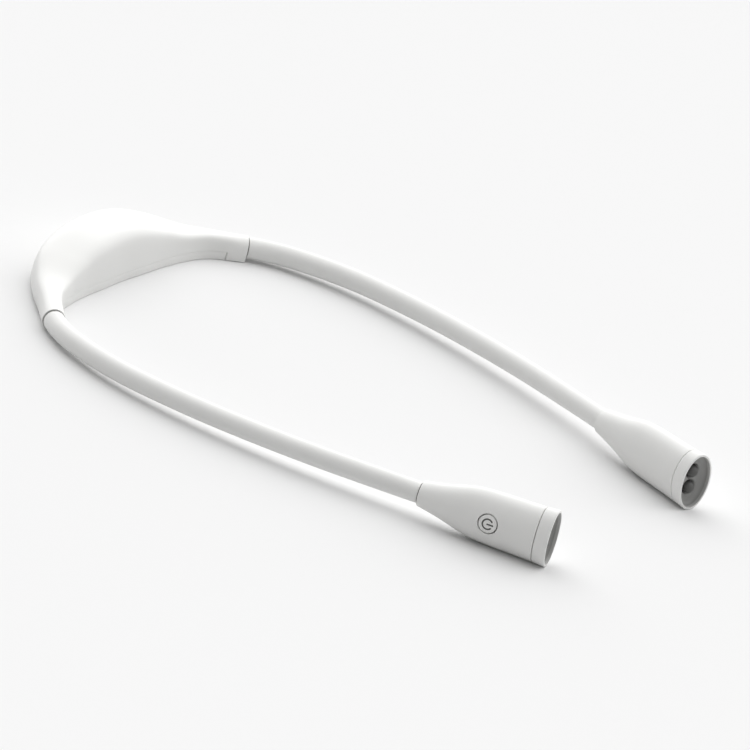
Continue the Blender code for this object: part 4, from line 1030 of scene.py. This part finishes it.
def build_button(place, side, word):
    """The cap with its engraved power symbol, whose bar points to the front."""
    there = button_place(place, side)
    bm = bmesh.new()
    turn = 2 * math.pi / BUTTON_SIDES
    radii = [(CAP_RADIUS * i / CAP_RINGS, 0.0) for i in range(1, CAP_RINGS - 1)]
    radii += [(CAP_RADIUS - along, drop) for along, drop in round_edge(CAP_EDGE)]
    rows = []
    for radius, drop in radii:
        row = []
        for i in range(BUTTON_SIDES):
            across, ahead = radius * math.cos(i * turn), radius * math.sin(i * turn)
            row.append(bm.verts.new(there @ Vector((across, ahead, cap_height(across, ahead) - drop))))
        rows.append(row)
    for radius, height in ((CAP_RADIUS, BUTTON_FLANGE_OUTER), (BUTTON_FLANGE_RADIUS, BUTTON_FLANGE_OUTER),
                           (BUTTON_FLANGE_RADIUS, BUTTON_FLANGE_INNER)):
        rows.append([bm.verts.new(p) for p in circle(radius, height, there, BUTTON_SIDES)])
    for here, beyond in zip(rows, rows[1:]):
        for i in range(BUTTON_SIDES):
            j = (i + 1) % BUTTON_SIDES
            bm.faces.new((here[i], here[j], beyond[j], beyond[i]))
    bm.faces.new(rows[-1])
    middle = bm.verts.new(there @ Vector((0.0, 0.0, cap_height(0.0, 0.0))))
    for i in range(BUTTON_SIDES):
        bm.faces.new((middle, rows[0][i], rows[0][(i + 1) % BUTTON_SIDES]))
    cap = mesh_from(bm, f"button_{word}")
    half_opening = math.radians(SYMBOL_OPENING / 2)
    arc = [(SYMBOL_RADIUS * math.sin(a), SYMBOL_RADIUS * math.cos(a))
           for a in stretch(half_opening, 2 * math.pi - half_opening, SYMBOL_ARC_STEPS)]
    bar = [(0.0, y) for y in stretch(*SYMBOL_BAR, SYMBOL_BAR_STEPS)]
    for name, line in (("ring_groove", arc), ("bar_groove", bar)):
        cap = carve(cap, symbol_groove(name, round_ended(line), there))
    to_cap = there.inverted()
    piece = show(f"power_button_{word}", cap, [WHITE_ABS, GREY_INK], f"button_{word}", f"button_cap_{word}")
    for face in cap.polygons:
        spot = to_cap @ face.center
        depth = cap_height(spot.x, spot.y) - spot.z
        at_bottom = 0.5 * SYMBOL_DEPTH < depth < 2 * SYMBOL_DEPTH
        if at_bottom and spot.xy.length < SYMBOL_RADIUS + SYMBOL_STROKE:
            face.material_index = 1


# Studio. The floor looks a little paler to the camera than the light it hands on, and the backdrop shows
# to the camera and in metal and glass only.

FLOOR_REACH = 20
BACKDROP_WHITE = "#FAFAFA"
FLOOR_WHITE = "#F2F2F2"
BOUNCE_GREY = "#E2E2E2"
FILL_STRENGTH = 0.22
SOFTBOX_STRENGTH = 3.4
SOFTBOX_SPREAD = 120.0
SOFTBOX_ELEVATION = 50.0
SOFTBOX_AZIMUTH = 20.0

# The camera's axes, and a spot between the rims with its place in the picture, in pixels right of and
# below the picture's middle
CAMERA_RIGHT = Vector((0.54183, -0.80275, 0.24903))
CAMERA_UP = Vector((0.20842, 0.41536, 0.88546))
RIMS_SPOT = Vector((0.0, -0.12782, 0.011494))
RIMS_RIGHT = 249.7
RIMS_BELOW = 135.6
PICTURE_WIDTH = 750
METRES_PER_PIXEL = 0.000375
LENS_MM = 1500.0
SENSOR_MM = 36.0
CLIP_NEAR = 1.0
CLIP_FAR = 60.0


def build_studio():
    corners = [(x * FLOOR_REACH, y * FLOOR_REACH, 0.0) for x, y in ((-1, -1), (1, -1), (1, 1), (-1, 1))]
    floor_mesh = bpy.data.meshes.new("floor")
    floor_mesh.from_pydata(corners, [], [(0, 1, 2, 3)])
    floor = add_object("floor", floor_mesh)
    finish, tree = new_finish("painted_white_floor")
    rays = node(tree, "ShaderNodeLightPath")
    seen = node(tree, "ShaderNodeMix", {"data_type": "RGBA"},
                {6: linear(BOUNCE_GREY), 7: linear(FLOOR_WHITE)}, {0: rays.outputs["Is Camera Ray"]})
    paint = node(tree, "ShaderNodeBsdfDiffuse", {}, {"Roughness": 0.0}, {"Color": seen.outputs[2]})
    node(tree, "ShaderNodeOutputMaterial", links={"Surface": paint.outputs[0]})
    floor_mesh.materials.append(finish)

    world = bpy.data.worlds.new("studio")
    bpy.context.scene.world = world
    world.use_nodes = True
    tree = world.node_tree
    tree.nodes.clear()
    rays = node(tree, "ShaderNodeLightPath")
    seen = node(tree, "ShaderNodeMath", {"operation": "MAXIMUM"}, {},
                {0: rays.outputs["Is Camera Ray"], 1: rays.outputs["Is Glossy Ray"]})
    seen = node(tree, "ShaderNodeMath", {"operation": "MAXIMUM"}, {},
                {0: seen.outputs[0], 1: rays.outputs["Is Transmission Ray"]})
    fill = node(tree, "ShaderNodeBackground", {},
                {"Color": (1.0, 1.0, 1.0, 1.0), "Strength": FILL_STRENGTH})
    backdrop = node(tree, "ShaderNodeBackground", {}, {"Color": linear(BACKDROP_WHITE), "Strength": 1.0})
    both = node(tree, "ShaderNodeMixShader", {}, {},
                {0: seen.outputs[0], 1: fill.outputs[0], 2: backdrop.outputs[0]})
    node(tree, "ShaderNodeOutputWorld", links={"Surface": both.outputs[0]})

    soft = bpy.data.lights.new("overhead_softbox", "SUN")
    soft.energy = SOFTBOX_STRENGTH
    soft.angle = math.radians(SOFTBOX_SPREAD)
    lamp = add_object("overhead_softbox", soft)
    rise, turn = math.radians(SOFTBOX_ELEVATION), math.radians(SOFTBOX_AZIMUTH)
    towards = Vector((math.cos(rise) * math.cos(turn), math.cos(rise) * math.sin(turn), math.sin(rise)))
    lamp.rotation_euler = towards.to_track_quat("Z", "Y").to_euler()
    bpy.context.scene.view_settings.view_transform = "Standard"


def build_camera():
    """The photograph's viewing angle, from far enough to look almost without perspective."""
    back = CAMERA_RIGHT.cross(CAMERA_UP)
    data = bpy.data.cameras.new("camera")
    data.lens = LENS_MM
    data.sensor_width = SENSOR_MM
    data.clip_start = CLIP_NEAR
    data.clip_end = CLIP_FAR
    camera = add_object("camera", data)
    distance = LENS_MM / SENSOR_MM * PICTURE_WIDTH
    shift = back * distance - CAMERA_RIGHT * RIMS_RIGHT + CAMERA_UP * RIMS_BELOW
    axes = Matrix((CAMERA_RIGHT, CAMERA_UP, back)).transposed().to_4x4()
    camera.matrix_world = Matrix.Translation(RIMS_SPOT + shift * METRES_PER_PIXEL) @ axes
    bpy.context.scene.camera = camera


finish_nodes()
build_cover()
build_tray()
build_battery_door()
build_case_screws()
build_cells()
for arm_side, arm_word in ((-1, "left"), (1, "right")):
    build_sleeve(arm_side, arm_word)
    build_joint_shade_rings(arm_side, arm_word)
    neck_place = PLANE @ plan_frames(arm_side)[-1]
    build_head_shell(neck_place, arm_side, arm_word)
    build_bezel(neck_place, arm_word)
    build_lamp(neck_place, arm_word)
    build_button(neck_place, arm_side, arm_word)
build_camera()
build_studio()
